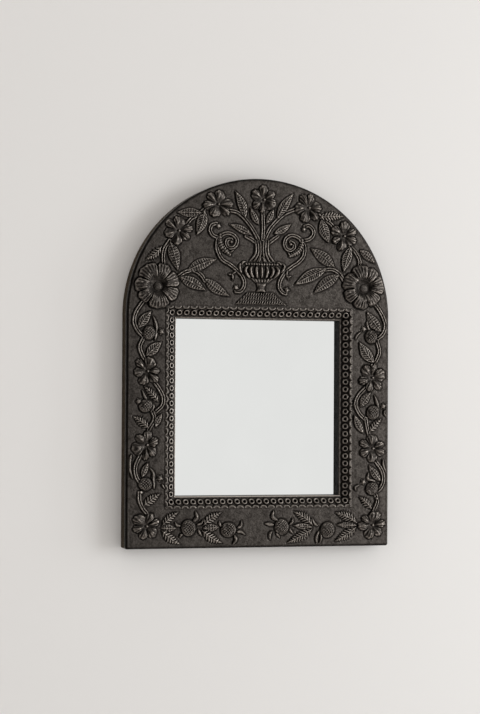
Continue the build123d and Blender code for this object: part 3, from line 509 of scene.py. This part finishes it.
def vase():
    """The vase at the foot of the head: stepped base, foot, cup, bowl and neck."""
    part, u, h = window(VASE_CENTRE - VASE_REACH, VASE_CENTRE + VASE_REACH, VASE_BOTTOM, VASE_TOP)
    x = u - VASE_CENTRE

    def course(places, width, height, hand=1):
        ridge([(VASE_CENTRE + hand * across, level) for across, level in places], width, height)

    inside = inside_polygon(BASE, x, h)
    row = np.clip(np.floor((h - BASE_LEVEL) / BASE_STEP), 0, 2)
    step = (h - BASE_LEVEL) / BASE_STEP - row
    dashes = np.cos(TURN * (x + row * 1.5 - DASH_SLANT * (h - BASE_LEVEL)) / DASH_PITCH)
    body = 1.6 + 1.1 * dashes * ramp(step, 0.05, 0.3) * (1 - ramp(step, 0.75, 1.0))
    stamp(part, inside, body * rounded(inside, 1.2))

    inside = inside_polygon(FOOT, x, h)
    stamp(part, inside, 3.8 * rounded(inside, 5.0))
    inside = inside_polygon(CUP, x, h)
    flutes = np.cos(TURN * x / (3.6 + 0.25 * (h - CUP_LEVEL)))
    stamp(part, inside, 2.4 * rounded(inside, 2.0) + 0.6 * flutes * ramp(inside, 0.3, 1.2))

    curve = np.linspace(-1, 1, 25)
    bowl = [(BOWL_REACH * c, BOWL_BRIM - BOWL_DEPTH * (1 - abs(c) ** 2.4) ** 0.7) for c in curve]
    inside = inside_polygon(bowl, x, h)
    stamp(part, inside, 0.7 * rounded(inside, 6.0))
    for rib in BOWL_RIBS:
        course([(share * rib, level) for share, level in RIB_COURSE], 4.6, 4.3)
    for points, width, height in HANDLES:
        ridge(points, width, height)

    for hand in (-1, 1):
        for start, middle, end in NECK_FLUTES:
            course([(start + 1.2, 423), (start, 412), (middle, 403), (end, 393)], 3.2, 3.4, hand)
        course(NECK_WEDGE, 2.6, 2.6, hand)
    for across in BRIM_BEADS:
        fruit((VASE_CENTRE + across, BRIM_LEVEL), 1.9, 2.8)


SCALLOP_REACH = 4.2
RING_RADIUS = 3.05
RING_REACH = 4.2
RING_RISE = 2.9
BEAD_RADIUS = 1.0
BEAD_RISE = 0.9


def sight_edge(q):
    """The funnel round the mirror with its rings, and the scallops over it, from how far each
    place lies out from the lip."""
    slope = -BEVEL_DROP - SLOPE_DROP * (1 - q / SLOPE_WIDTH)
    bevel = -BEVEL_DROP * (1 - (q - SLOPE_WIDTH) / BEVEL_WIDTH)
    bare = surface = np.clip(np.where(q < SLOPE_WIDTH, slope, bevel), -BEVEL_DROP - SLOPE_DROP, 0)

    aside, off_middle = np.abs(U), np.abs(H - OPENING_MIDDLE)
    brim_u, brim_h = HALF_OPENING + BORDER_WIDTH, HALF_HEIGHT + BORDER_WIDTH
    across, up = 2 * brim_u / RINGS_ACROSS, 2 * brim_h / RINGS_UP
    lobes = np.full(U.shape, -9.0)
    off_u = (U + brim_u) % across - across / 2
    off_h = (H - OPENING_MIDDLE + brim_h) % up - up / 2
    for gap, off, half, limit in (
        (off_middle - brim_h, off_u, across / 2, aside < brim_u),
        (aside - brim_u, off_h, up / 2, off_middle < brim_h),
    ):
        size = np.hypot(np.minimum(gap, 0) / SCALLOP_REACH, off / (half + 0.1))
        lobes = np.where(limit, np.maximum(lobes, (1 - size) * SCALLOP_REACH), lobes)
    lobe = 0.2 + 1.1 * rounded(lobes, 1.4) - 0.7 * ramp(lobes, 1.2, 3.2)
    below = surface - 0.5 * bump(lobes + 0.9, 0.9)
    surface = np.where(lobes > 0, np.maximum(surface, lobe), below)

    ring_u, ring_h = HALF_OPENING + RING_FROM_LIP, HALF_HEIGHT + RING_FROM_LIP
    step_u, step_h = 2 * ring_u / RINGS_ACROSS, 2 * ring_h / RINGS_UP
    near_u = (U + ring_u + step_u / 2) % step_u - step_u / 2
    near_h = (H - OPENING_MIDDLE + ring_h + step_h / 2) % step_h - step_h / 2
    on_side = aside - HALF_OPENING > off_middle - HALF_HEIGHT
    out = np.hypot(np.where(on_side, near_h, near_u), (q - RING_FROM_LIP) * 1.12)
    corner = np.hypot(aside - ring_u, off_middle - ring_h)
    out = np.where(corner < RING_REACH, corner, out)
    ring = RING_RISE * bump(out - RING_RADIUS, 1.15) - 0.5 * bump(out, 1.6) - 0.5 * ramp(out, 4.3, 5.0)
    surface = surface + ring * ramp(q, 1.9, 3.2) * (1 - ramp(q, 12.0, 13.2))
    surface = surface + BEAD_RISE * rounded(np.minimum(q, 2 * BEAD_RADIUS - q), BEAD_RADIUS)
    return np.maximum(surface, bare - CHASED_DEPTH)


# The relief: forms stamped one over another, on a ground that flattens at both edges
inward, outward = from_silhouette(U, H), from_lip(U, H)
rim_fade = ramp(inward, RIM_INSET, RIM_INSET + 5)
lip_fade = ramp(outward, BORDER_WIDTH, BORDER_WIDTH + 3)
ground = (FACE_SWELL + 0.05 * soft_noise(7.0, 11)) * (rim_fade * lip_fade)
relief = ground.copy()
dents = np.clip(soft_noise(1.5, 5), -2, 1)

for points in STEMS:
    stem(points)
for form, table in ((horn, HORNS), (husk, HUSKS)):
    for points, width in table:
        form(points, width)
for base_u, base_h, tip_u, tip_h, *looks in LEAVES:
    leaf((base_u, base_h), (tip_u, tip_h), *looks)
for form, table in ((fruit, FRUITS), (bud, BUDS), (flower, FLOWERS), (blossom, BLOSSOMS)):
    for u, h, *size in table:
        form((u, h), *size)
vase()

relief = np.where(outward < BORDER_WIDTH, sight_edge(outward), relief)
relief *= ramp(inward, RIM_INSET - 0.3, RIM_INSET + 0.4)

# Patina and painted shade: how deep in the hollows each place lies, from 0 to 1, and wear with
# painted highlight: how high on a ridge. Over 1, the ridge is bare and gets a painted highlight,
# as on the lip of the opening.
SMALL_HOLLOW, WIDE_HOLLOW, MOST_RECESS = 1.4, 4.2, 0.85
# Painted shade with soot over the funnel round the mirror, left off the rings
FUNNEL_SHADE_AND_SOOT = 0.38
# Painted highlight along the lip's bare edge: brightest on the bottom lip, which faces up to the light
BOTTOM_LIP_HIGHLIGHT, LIP_HIGHLIGHT = 0.97, 0.45
# Less wear and painted highlight on the scallops
DULL_SCALLOPS = 0.3

# Painted shade with patina, deepest where the relief lies under its blurred self
recess_shade_and_patina = (smoothed(relief, 0.9) - relief) / SMALL_HOLLOW + (smoothed(relief, 2.6) - relief) / WIDE_HOLLOW
recess_shade_and_patina = np.clip(recess_shade_and_patina, 0, MOST_RECESS)
above = relief - smoothed(relief, 1.3)
crest_wear_and_highlight = np.clip(above / 0.9, 0, 1)
funnel = ramp(outward, 0.5, 1.5) * (1 - ramp(outward, SLOPE_WIDTH - 1.5, SLOPE_WIDTH))
ring_rise = ramp(above, 0.0, 0.5)
# Painted shade over the funnel, but not on the rings
recess_shade_and_patina = np.maximum(recess_shade_and_patina, FUNNEL_SHADE_AND_SOOT * funnel * (1 - ring_rise))
# The lip's bare edge and its painted highlight
lip_highlight_and_wear = ramp(outward, -0.5, 0.0) * (1 - ramp(outward, 1.2, 1.9))
lip_highlight_and_wear *= np.where(H < OPENING_BOTTOM, BOTTOM_LIP_HIGHLIGHT, LIP_HIGHLIGHT)
# Painted highlight on the rings in the funnel
crest_wear_and_highlight = crest_wear_and_highlight + (0.2 + 0.1 * dents) * funnel * ring_rise * (crest_wear_and_highlight > 0)
crest_wear_and_highlight = np.maximum(crest_wear_and_highlight, 1.5 * lip_highlight_and_wear)
past_scallops = ramp(outward, BORDER_WIDTH, BORDER_WIDTH + 0.5)
crest_wear_and_highlight *= 1 - DULL_SCALLOPS * ramp(outward, 11.5, 12.5) * (1 - past_scallops)
# No painted shade on the lip's painted highlight
recess_shade_and_patina *= 1 - np.clip(lip_highlight_and_wear, 0, 1)


# --- The mesh of the sheet

# A cell's corners and the middles of its sides, in halves of its size (up, right)
CELL_ROUND = ((0, 0), (0, 1), (0, 2), (1, 2), (2, 2), (2, 1), (2, 0), (1, 0))


def blocks(array, size):
    """The array cut into square blocks, with their rows and columns on axes 1 and 3."""
    return array.reshape(array.shape[0] // size, size, array.shape[1] // size, size)


def spread(array, size):
    """Each value of the array as a block."""
    return array.repeat(size, 0).repeat(size, 1)


def misfit(field, size):
    """How far the field leaves the patches that span its blocks' corners."""
    row, column = np.arange(ROWS), np.arange(COLUMNS)
    knots = field[::size, ::size]
    part_h, part_u = (row % size / size)[:, None], (column % size / size)[None, :]
    row, column = (row // size)[:, None], (column // size)[None, :]
    low = knots[row, column] * (1 - part_u) + knots[row, column + 1] * part_u
    high = knots[row + 1, column] * (1 - part_u) + knots[row + 1, column + 1] * part_u
    return np.abs(low * (1 - part_h) + high * part_h - field[:-1, :-1])


def cell_levels(field, near_edge):
    """The size of the cell over each fine cell, as a power of two: small where the field bends."""
    level = np.zeros((ROWS, COLUMNS), int)
    steps = range(1, int(math.log2(FINE)) + 1)
    for step in steps:
        size = 2**step
        fits = blocks(misfit(field, size), size).max((1, 3)) < TOLERANCE
        whole = blocks(level, size).min((1, 3)) == step - 1
        if step > 2:
            fits &= ~blocks(near_edge[:-1, :-1], size).any((1, 3))
        level = np.where(spread(fits & whole, size), step, level)
    changed = True
    while changed:
        changed = False
        padded = np.pad(level, 1, mode="edge")
        low = np.min([padded[j:j + ROWS, i:i + COLUMNS] for j in range(3) for i in range(3)], axis=0)
        for step in reversed(steps):
            size = 2**step
            whole = blocks(level, size).min((1, 3)) == step
            split = whole & (blocks(low, size).min((1, 3)) < step - 1)
            if split.any():
                level = np.where(spread(split, size), step - 1, level)
                changed = True
    return level


def cells(level, kept):
    """The kept cells as faces: their corners on the fine grid, with those of finer neighbours."""
    corners, counts = [], []
    padded = np.pad(level, 1, mode="edge")
    for step in range(int(math.log2(FINE)) + 1):
        size = 2**step
        block = blocks(level, size)
        j, i = np.nonzero((block.min((1, 3)) == step) & (block.max((1, 3)) == step) & kept(step))
        j, i = j * size, i * size
        slots = np.stack([
            (j + up * size // 2) * (COLUMNS + 1) + i + over * size // 2 for up, over in CELL_ROUND
        ], 1)
        used = np.ones(slots.shape, bool)
        used[:, 1] = padded[j, i + 1] < step
        used[:, 3] = padded[j + 1, i + size + 1] < step
        used[:, 5] = padded[j + size + 1, i + 1] < step
        used[:, 7] = padded[j + 1, i] < step
        corners.append(slots[used])
        counts.append(used.sum(1))
    return np.concatenate(corners), np.concatenate(counts)


def loose_loops(corners, counts):
    """The mesh's open edges, as closed rows of corner numbers."""
    starts = np.repeat(np.cumsum(counts) - counts, counts)
    order = np.arange(len(corners)) - starts
    after = starts + (order + 1) % np.repeat(counts, counts)
    first, second = corners, corners[after]
    top = int(corners.max()) + 1
    open_edge = ~np.isin(first * top + second, second * top + first)
    follow = dict(zip(first[open_edge].tolist(), second[open_edge].tolist()))
    loops = []
    while follow:
        start, here = follow.popitem()
        loop = [start]
        while here != start:
            loop.append(here)
            here = follow.pop(here)
        loops.append(loop)
    return loops


def linked(name, data):
    """A new object in the scene."""
    made = bpy.data.objects.new(name, data)
    scene.collection.objects.link(made)
    return made


def mesh_object(name, points, corners, counts, attributes):
    """A smooth object from flat arrays of points and faces."""
    mesh = bpy.data.meshes.new(name)
    mesh.vertices.add(len(points))
    mesh.vertices.foreach_set("co", np.asarray(points, np.float32).ravel())
    mesh.loops.add(len(corners))
    mesh.loops.foreach_set("vertex_index", np.asarray(corners, np.int32))
    mesh.polygons.add(len(counts))
    mesh.polygons.foreach_set("loop_start", (np.cumsum(counts) - counts).astype(np.int32))
    mesh.update(calc_edges=True)
    mesh.validate()
    mesh.shade_smooth()
    for key, values in attributes.items():
        mesh.attributes.new(key, "FLOAT", "POINT").data.foreach_set("value", np.asarray(values, np.float32))
    return linked(name, mesh)


# Rows of the rolled rim: distance in from the outline, height over the face, painted shade with patina
RIM_ROWS = [
    (3.9, 0.02, 0.2), (3.4, 0.12, 0.3), (2.9, 0.10, 0.4), (2.3, -0.08, 0.5), (1.7, -0.30, 0.8),
    (1.1, -0.68, 0.8), (0.6, -1.2, 0.8), (0.25, -1.9, 0.8), (0.05, -2.7, 0.8), (0.0, -3.5, 0.8),
    (0.0, -6.3, 0.7), (0.08, -6.8, 0.6), (0.3, -7.0, 0.8), (0.55, -6.8, 1.0), (0.58, -5.0, 1.0),
]
CORNER_FAN = 7
# Rows of the lip round the mirror: distance in from the opening, height over its edge
LIP_ROWS = [(0.12, -0.15), (0.2, -0.35), (0.12, -0.55), (-0.1, -0.62), (-0.4, -0.62)]
# Painted shade with patina on the lip as it folds back into the opening
LIP_SHADE_AND_PATINA = 0.9
NEAR = 1e-6


def fit_to_rim(points, loop):
    """Moves the loop onto the outline set in by the rim, with a point on each corner."""
    for _ in range(3):
        u, h = points[loop, 0], points[loop, 1]
        far = from_silhouette(u, h) - RIM_INSET
        slope_u = from_silhouette(u + 0.01, h) - from_silhouette(u - 0.01, h)
        slope_h = from_silhouette(u, h + 0.01) - from_silhouette(u, h - 0.01)
        steep = np.hypot(slope_u, slope_h)
        points[loop, 0] -= far * slope_u / steep
        points[loop, 1] -= far * slope_h / steep
    points[loop, 2] = 0
    for hand in (-1, 1):
        corner = np.array([hand * (HALF_WIDTH - RIM_INSET), RIM_INSET])
        nearest = loop[np.argmin(np.hypot(*(points[loop, :2] - corner).T))]
        points[nearest, :2] = corner


def rim_stations(points, loop):
    """The loop's points and their places on the outline, fanned at the corners."""
    stations = []
    for number in loop:
        u, h = points[number, :2]
        hand = math.copysign(1, u)
        if abs(abs(u) - HALF_WIDTH + RIM_INSET) < NEAR and abs(h - RIM_INSET) < NEAR:
            turns = np.linspace(0, math.pi / 2, CORNER_FAN)
            middle = np.array([hand * (HALF_WIDTH - CORNER_RADIUS), CORNER_RADIUS])
            fan = [middle + CORNER_RADIUS * np.array([hand * math.sin(t), -math.cos(t)]) for t in turns]
            places = fan[::int(hand)]
        elif h > SIDE_HEIGHT:
            out = np.array([u, h - SIDE_HEIGHT])
            places = [np.array([0, SIDE_HEIGHT]) + out * HALF_WIDTH / np.hypot(*out)]
        elif h > RIM_INSET + NEAR:
            places = [(hand * HALF_WIDTH, h)]
        else:
            places = [(u, 0.0)]
        stations += [(number, place) for place in places]
    return np.array([number for number, _ in stations]), np.array([place for _, place in stations])


def pushed_in(values, half, inset):
    """Places at both ends of a span moved in, and those between held inside."""
    held = np.clip(values, inset - half, half - inset)
    return np.where(np.abs(values) > half - 0.05, np.sign(values) * (half - inset), held)


def bridged(rows):
    """The faces between closed rows of corners."""
    faces = []
    for upper, lower in zip(rows[:-1], rows[1:]):
        for a, b, c, d in zip(upper, lower, np.roll(lower, -1), np.roll(upper, -1)):
            faces.append([a, b, c, d] if a != d else [a, b, c])
    return faces


def embossed_sheet():
    """The worked sheet, with its rolled rim and the folded lip of the opening."""
    level = cell_levels(relief, np.abs(inward - RIM_INSET) < 8)
    mid_edge = 0.25 * (inward[:-1, :-1] + inward[1:, :-1] + inward[:-1, 1:] + inward[1:, 1:])
    opening = from_lip(U[:-1, :-1] + STEP_U / 2, H[:-1, :-1] + STEP_H / 2) < 0

    def kept(step):
        size = 2**step
        middle = blocks(mid_edge, size).mean((1, 3)) > RIM_INSET
        return middle & ~blocks(opening, size).any((1, 3))

    corners, counts = cells(level, kept)
    loops = loose_loops(corners, counts)
    used, corners = np.unique(corners, return_inverse=True)
    points = np.stack([field.ravel()[used] for field in (U, H, relief, recess_shade_and_patina)], 1)
    loops.sort(key=lambda loop: np.ptp(U.ravel()[loop]))
    lip_loop, rim_loop = [np.searchsorted(used, loop) for loop in loops[-2:]]
    fit_to_rim(points, rim_loop)
    base, outer = rim_stations(points, rim_loop)
    first, lip = points[base, :2], points[lip_loop]
    added = [points]

    def add_row(places, height, dark):
        count = sum(len(row) for row in added)
        added.append(np.column_stack([places, np.full((len(places), 2), (height, dark))]))
        return count + np.arange(len(places))

    rim_rows, lip_rows = [base], [lip_loop]
    # Each row's last value is its painted shade with patina
    for inset, height, dark in RIM_ROWS:
        rim_rows.append(add_row(first + (outer - first) * (1 - inset / RIM_INSET), height, dark))
    for inset, height in LIP_ROWS:
        u = pushed_in(lip[:, 0], HALF_OPENING, inset)
        h = OPENING_MIDDLE + pushed_in(lip[:, 1] - OPENING_MIDDLE, HALF_HEIGHT, inset)
        lip_rows.append(add_row(np.column_stack([u, h]), lip[:, 2].mean() + height, LIP_SHADE_AND_PATINA))

    faces = bridged(rim_rows) + bridged(lip_rows)
    corners = np.concatenate([corners, *faces])
    counts = np.concatenate([counts, [len(face) for face in faces]])
    u, h, height, recess_shade_and_patina_values = np.concatenate(added).T
    crest_wear_and_highlight_values = np.append(crest_wear_and_highlight.ravel()[used], np.zeros(len(u) - len(used)))
    placed = np.column_stack([u * MM, FACE_Y - height * MM, BOTTOM_Z + h * MM])
    return mesh_object("worked_tin_sheet", placed, corners, counts, {"recess_shade_and_patina": recess_shade_and_patina_values, "crest_wear_and_highlight": crest_wear_and_highlight_values})


# --- Materials

WHITE = (1, 1, 1, 1)


def feed(tree, node, inputs):
    """Sets inputs of a node to values, or links them to outputs."""
    for key, value in inputs.items():
        if isinstance(value, bpy.types.NodeSocket):
            tree.links.new(value, node.inputs[key])
        else:
            node.inputs[key].default_value = value


def add_node(tree, kind, inputs=None, **settings):
    """A shader node with its settings and inputs."""
    node = tree.nodes.new("ShaderNode" + kind)
    for key, value in settings.items():
        setattr(node, key, value)
    feed(tree, node, inputs or {})
    return node


def linear(red, green, blue):
    """A colour from its values between 0 and 255 as they look on a screen."""
    parts = [value / 255 for value in (red, green, blue)]
    return (*(c / 12.92 if c <= 0.04045 else ((c + 0.055) / 1.055) ** 2.4 for c in parts), 1.0)


def shade(colour, factor):
    """The colour, darker or lighter."""
    return (*(min(1, c * factor) for c in colour[:3]), 1.0)


def new_material(name):
    """A material with its output, a Principled shader, and the place on the object."""
    made = bpy.data.materials.new(name)
    made.use_nodes = True
    tree = made.node_tree
    tree.nodes.clear()
    shader = add_node(tree, "BsdfPrincipled")
    add_node(tree, "OutputMaterial", {"Surface": shader.outputs[0]})
    where = add_node(tree, "TexCoord").outputs["Object"]
    return made, tree, shader, where


def noise(tree, where, scale, detail, roughness=0.5, distortion=0.0):
    """Noise between 0 and 1, with its scale per metre."""
    node = add_node(tree, "TexNoise", {
        "Vector": where, "Scale": scale, "Detail": detail,
        "Roughness": roughness, "Distortion": distortion,
    })
    return node.outputs["Fac"]


def computed(tree, operation, first, second):
    """A number made of two."""
    return add_node(tree, "Math", {0: first, 1: second}, operation=operation).outputs[0]


def ranged(tree, value, low, high, to_low=0.0, to_high=1.0):
    """A value stretched from one range to another."""
    node = add_node(tree, "MapRange", {
        "Value": value, "From Min": low, "From Max": high, "To Min": to_low, "To Max": to_high,
    })
    return node.outputs[0]


def bumped(tree, height, strength, distance):
    """The normals of a height in metres."""
    node = add_node(tree, "Bump", {"Height": height, "Strength": strength, "Distance": distance})
    return node.outputs[0]


def mixed_colour(tree, factor, first, second):
    """A colour between two, each given as a value or as an output."""
    node = add_node(tree, "Mix", {"Factor": factor, "A": first, "B": second}, data_type="RGBA")
    return [output for output in node.outputs if output.type == "RGBA"][0]


def ramped(tree, value, *stops):
    """Colours between two stops, each a position and a colour."""
    node = add_node(tree, "ValToRGB", {"Fac": value})
    for element, (position, colour) in zip(node.color_ramp.elements, stops):
        element.position = position
        element.color = colour
    return node.outputs["Color"]


# A bright painted highlight where the tin is bare, and how dark the painted shade with soot gets
POLISHED_HIGHLIGHT = linear(188, 178, 170)
SOOT_AND_SHADE = 0.12
TIN_GRAIN, TIN_GRAIN_DEPTH = 0.6, 0.0007


def tin(name, dark, light, worn_and_highlight=None, roughness=0.37, edge_tint=WHITE):
    """Blackened, mottled tin. Given a colour for the ridges, it follows the sheet's patina and painted
    light: black in the hollows as patina with painted shade, paler on the ridges as wear with painted
    highlight, and brightest where the tin is bare, a painted highlight."""
    made, tree, shader, where = new_material(name)
    cloud = noise(tree, where, 130.0, 5.0, 0.7)
    pits = noise(tree, where, 420.0, 4.0, 0.7)
    both = computed(tree, "ADD", cloud, pits)
    colour = mixed_colour(tree, ranged(tree, both, 0.8, 1.2), dark, light)
    if worn_and_highlight:
        hollow_shade_and_patina = add_node(tree, "Attribute", attribute_name="recess_shade_and_patina").outputs["Fac"]
        high = add_node(tree, "Attribute", attribute_name="crest_wear_and_highlight").outputs["Fac"]
        # Wear and painted highlight on the ridges, a brighter painted highlight where bare, painted shade
        # with patina in the hollows
        rubbed_and_highlit = ranged(tree, computed(tree, "MULTIPLY", high, pits), 0.1, 0.6)
        colour = mixed_colour(tree, rubbed_and_highlit, colour, worn_and_highlight)
        colour = mixed_colour(tree, ranged(tree, high, 1.0, 1.5), colour, POLISHED_HIGHLIGHT)
        colour = mixed_colour(tree, hollow_shade_and_patina, colour, shade(dark, SOOT_AND_SHADE))
    feed(tree, shader, {
        "Base Color": colour,
        "Roughness": ranged(tree, both, 0.75, 1.25, roughness + 0.08, roughness - 0.06),
        "Normal": bumped(tree, both, TIN_GRAIN, TIN_GRAIN_DEPTH),
        "Metallic": 1.0,
        "Specular Tint": edge_tint,
    })
    return made


def silvered():
    """A mirror, very faintly clouded."""
    made, tree, shader, where = new_material("silvered_glass")
    cloud = noise(tree, where, 12.0, 3.0)
    feed(tree, shader, {
        "Base Color": mixed_colour(tree, cloud, linear(241, 242, 242), linear(246, 247, 247)),
        "Metallic": 1.0,
        "Roughness": 0.01,
    })
    return made


def plain(name, colour, roughness, metallic=0.0, vary=0.15, scale=60.0, grain=0.1, distance=0.0003):
    """A surface with soft variation of colour and roughness, and a fine grain."""
    made, tree, shader, where = new_material(name)
    cloud = noise(tree, where, scale, 5.0)
    speck = noise(tree, where, scale * 15, 3.0)
    stops = (0.35, shade(colour, 1 - vary)), (0.65, shade(colour, 1 + vary))
    feed(tree, shader, {
        "Base Color": ramped(tree, cloud, *stops),
        "Roughness": ranged(tree, cloud, 0.3, 0.7, max(0.02, roughness - 0.07), roughness + 0.07),
        "Normal": bumped(tree, speck, grain, distance),
        "Metallic": metallic,
    })
    return made


def pine(along):
    """Pine with its grain along an axis."""
    made, tree, shader, where = new_material("pine_along_" + along)
    stretch = [1.0, 1.0, 1.0]
    stretch["xyz".index(along)] = 0.06
    mapped = add_node(tree, "Mapping", {"Vector": where, "Scale": stretch}).outputs[0]
    waves = noise(tree, mapped, 104.0, 4.0, distortion=1.2)
    fibre = noise(tree, mapped, 1500.0, 2.0)
    stops = (0.4, linear(205, 168, 122)), (0.62, linear(170, 126, 82))
    feed(tree, shader, {
        "Base Color": ramped(tree, waves, *stops),
        "Roughness": 0.62,
        "Normal": bumped(tree, fibre, 0.3, 0.0003),
    })
    return made


def dress(material, *nodes):
    """Gives CAD nodes their material."""
    for node in nodes:
        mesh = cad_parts[node].data
        if not mesh.materials:
            mesh.materials.append(material)
        for index in range(len(mesh.materials)):
            mesh.materials[index] = material


face_tin = tin("antiqued_tin_face", linear(51, 47, 44), linear(82, 77, 73), linear(160, 151, 143))
# A darker copy of the face tin: painted shade in the rebate round the mirror
shaded_liner_tin = tin("antiqued_tin_liner_painted_shade", linear(22, 20, 18), linear(36, 33, 30), roughness=0.42)
# A darker copy of the face tin: the shade of the frame's sides painted in
shaded_band_tin = tin(
    "antiqued_tin_band_painted_shade", linear(40, 38, 34), linear(62, 58, 53),
    roughness=0.4, edge_tint=linear(214, 204, 192),
)
mirror = silvered()
zinc = plain("zinc_plated_steel", linear(160, 160, 156), 0.38, metallic=0.9, scale=140.0)
tack = plain("blued_tacks", linear(70, 70, 74), 0.4, metallic=0.8, scale=200.0)
hardboard = plain("hardboard", linear(112, 82, 58), 0.75, vary=0.12, scale=300.0, grain=0.4)
card = plain("grey_card", linear(150, 145, 136), 0.85, vary=0.06, scale=200.0)
felt = plain("brown_felt", linear(92, 76, 62), 0.95, vary=0.2, scale=700.0, grain=0.8, distance=0.001)

sheet = embossed_sheet()
sheet.data.materials.append(face_tin)
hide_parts("embossed_face_sheet")
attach(sheet, "mirror_frame")

dress(shaded_band_tin, "side_band", "bottom_band")
dress(shaded_liner_tin, "sight_liner_top", "sight_liner_bottom", "sight_liner_left", "sight_liner_right")
dress(tack, "band_tacks")
dress(mirror, "mirror_glass")
dress(zinc, "hanger_strap", "hanger_ring", "hanger_screws", "turn_button_screws")
dress(zinc, *(f"turn_button_{number}" for number in range(1, 7)))
dress(pine("x"), "head_board", "bottom_rail_board", "frame_dowels")
dress(pine("z"), "left_stile_board", "right_stile_board")
dress(hardboard, "backing_board")
dress(card, "backing_pad")
dress(felt, "wall_bumper_left", "wall_bumper_right")


# --- Stage, light and camera

# The wall, just behind the frame, is open there so that light from behind shows the back
WALL_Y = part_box("wall_bumper_left")[1].y + 0.0002
WALL_REACH = 1.6
HOLE_REACH = 0.165
HOLE_Z = BOTTOM_Z + HALF_WIDTH * MM - HOLE_REACH
ARCH_POINTS = 24
FLOOR_Z = BOTTOM_Z - 0.9
FLOOR_REACH = 4
FLOOR_FRONT = -6
# A dark flag on the left, which the tin shows and the camera doesn't
FLAG = [(-0.04, -1.25, -0.85), (-1.3, -0.2, -0.85), (-1.3, -0.2, 1.2), (-0.04, -1.25, 1.2)]
QUAD = (0, 1, 2, 3)
# Lamps on the right: name, place, target, size, power
LAMPS = [
    ("key", (2.3, -1.85, -0.15), (0, -0.2, -0.1), (1.3, 1.5), 31.5),
    ("window", (2.3, -0.75, -0.25), (0, -0.1, -0.2), (0.32, 1.6), 9.5),
]
DAYLIGHT = (0.96, 0.985, 1.0)


def staged_plane(name, corners, faces, material):
    """A flat part of the set."""
    mesh = bpy.data.meshes.new(name)
    mesh.from_pydata(corners, [], faces)
    made = linked(name, mesh)
    mesh.materials.append(material)
    return made


def one_sided(name, colour):
    """Matt paint that can't be seen from behind."""
    made, tree, shader, _ = new_material(name)
    feed(tree, shader, {"Base Color": colour, "Roughness": 0.9})
    side = add_node(tree, "NewGeometry").outputs["Backfacing"]
    clear = add_node(tree, "BsdfTransparent")
    mixed = add_node(tree, "MixShader", {0: side, 1: shader.outputs[0], 2: clear.outputs[0]})
    output = [node for node in tree.nodes if node.type == "OUTPUT_MATERIAL"][0]
    feed(tree, output, {"Surface": mixed.outputs[0]})
    return made


def arch(reach, low):
    """An arched outline of places on the wall, anticlockwise from its bottom left."""
    turns = np.linspace(0, math.pi, ARCH_POINTS)
    spring = BOTTOM_Z + SIDE_HEIGHT * MM
    top = [(reach * math.cos(turn), spring + reach * math.sin(turn)) for turn in turns]
    return [(x, WALL_Y, z) for x, z in [(-reach, low), (reach, low), *top]]


def softbox(name, place, target, size, power):
    """A soft rectangular light that the camera doesn't see."""
    data = bpy.data.lights.new(name, "AREA")
    data.shape = "RECTANGLE"
    data.size, data.size_y = size
    data.energy = power
    data.color = DAYLIGHT
    made = linked(name, data)
    made.location = place
    made.rotation_mode = "QUATERNION"
    made.rotation_quaternion = (Vector(target) - Vector(place)).to_track_quat("-Z", "Y")
    made.visible_camera = False


paint = one_sided("wall_paint", linear(223, 222, 221))
outer_arch, hole = arch(WALL_REACH, FLOOR_Z), arch(HOLE_REACH, HOLE_Z)
count = len(hole)
strips = [(i, (i + 1) % count, count + (i + 1) % count, count + i) for i in range(count)]
staged_plane("wall", outer_arch + hole, strips, paint)
near, far = (FLOOR_FRONT, FLOOR_Z), (WALL_Y, FLOOR_Z)
edges = [(-FLOOR_REACH, *near), (FLOOR_REACH, *near), (FLOOR_REACH, *far), (-FLOOR_REACH, *far)]
floor = staged_plane("floor", edges, [QUAD], paint)
floor.visible_camera = False
flag = staged_plane("flag", FLAG, [QUAD], plain("black_flag", linear(88, 86, 84), 0.9, vary=0.02))
flag.visible_camera = False
flag.visible_diffuse = False
for lamp in LAMPS:
    softbox(*lamp)

# The room lights the object. The camera, metal and glass see a pale backdrop instead.
ROOM = {"Color": (1.0, 0.96, 0.92, 1.0), "Strength": 0.81}
BACKDROP = {"Color": linear(236, 236, 234), "Strength": 1.0}
world = bpy.data.worlds.new("studio")
scene.world = world
world.use_nodes = True
tree = world.node_tree
tree.nodes.clear()
rays = add_node(tree, "LightPath").outputs
seen = computed(tree, "MAXIMUM", rays["Is Camera Ray"], rays["Is Glossy Ray"])
seen = computed(tree, "MAXIMUM", seen, rays["Is Transmission Ray"])
room, backdrop = [add_node(tree, "Background", looks).outputs[0] for looks in (ROOM, BACKDROP)]
mixed = add_node(tree, "MixShader", {0: seen, 1: room, 2: backdrop})
add_node(tree, "OutputWorld", {"Surface": mixed.outputs[0]})

# The camera, as it was fitted to the photograph. Its sides turn with the roll.
CAMERA_PLACE = (-0.9448, -2.90548, -0.274)
YAW, PITCH, ROLL = (math.radians(angle) for angle in (17.651, 1.176, -0.308))
FOCAL_LENGTH, SENSOR_WIDTH = 110.9, 36.0
forward = Vector((math.sin(YAW) * math.cos(PITCH), math.cos(YAW) * math.cos(PITCH), math.sin(PITCH)))
right = Vector((math.cos(YAW), -math.sin(YAW), 0.0))
down = forward.cross(right)
right, down = (
    math.cos(ROLL) * right + math.sin(ROLL) * down,
    -math.sin(ROLL) * right + math.cos(ROLL) * down,
)
data = bpy.data.cameras.new("camera")
data.lens = FOCAL_LENGTH
data.sensor_width = SENSOR_WIDTH
data.clip_start, data.clip_end = 0.05, 50.0
camera = linked("camera", data)
turned = Matrix((right, -down, -forward)).transposed().to_4x4()
camera.matrix_world = Matrix.Translation(CAMERA_PLACE) @ turned
scene.camera = camera
scene.view_settings.view_transform = "Standard"
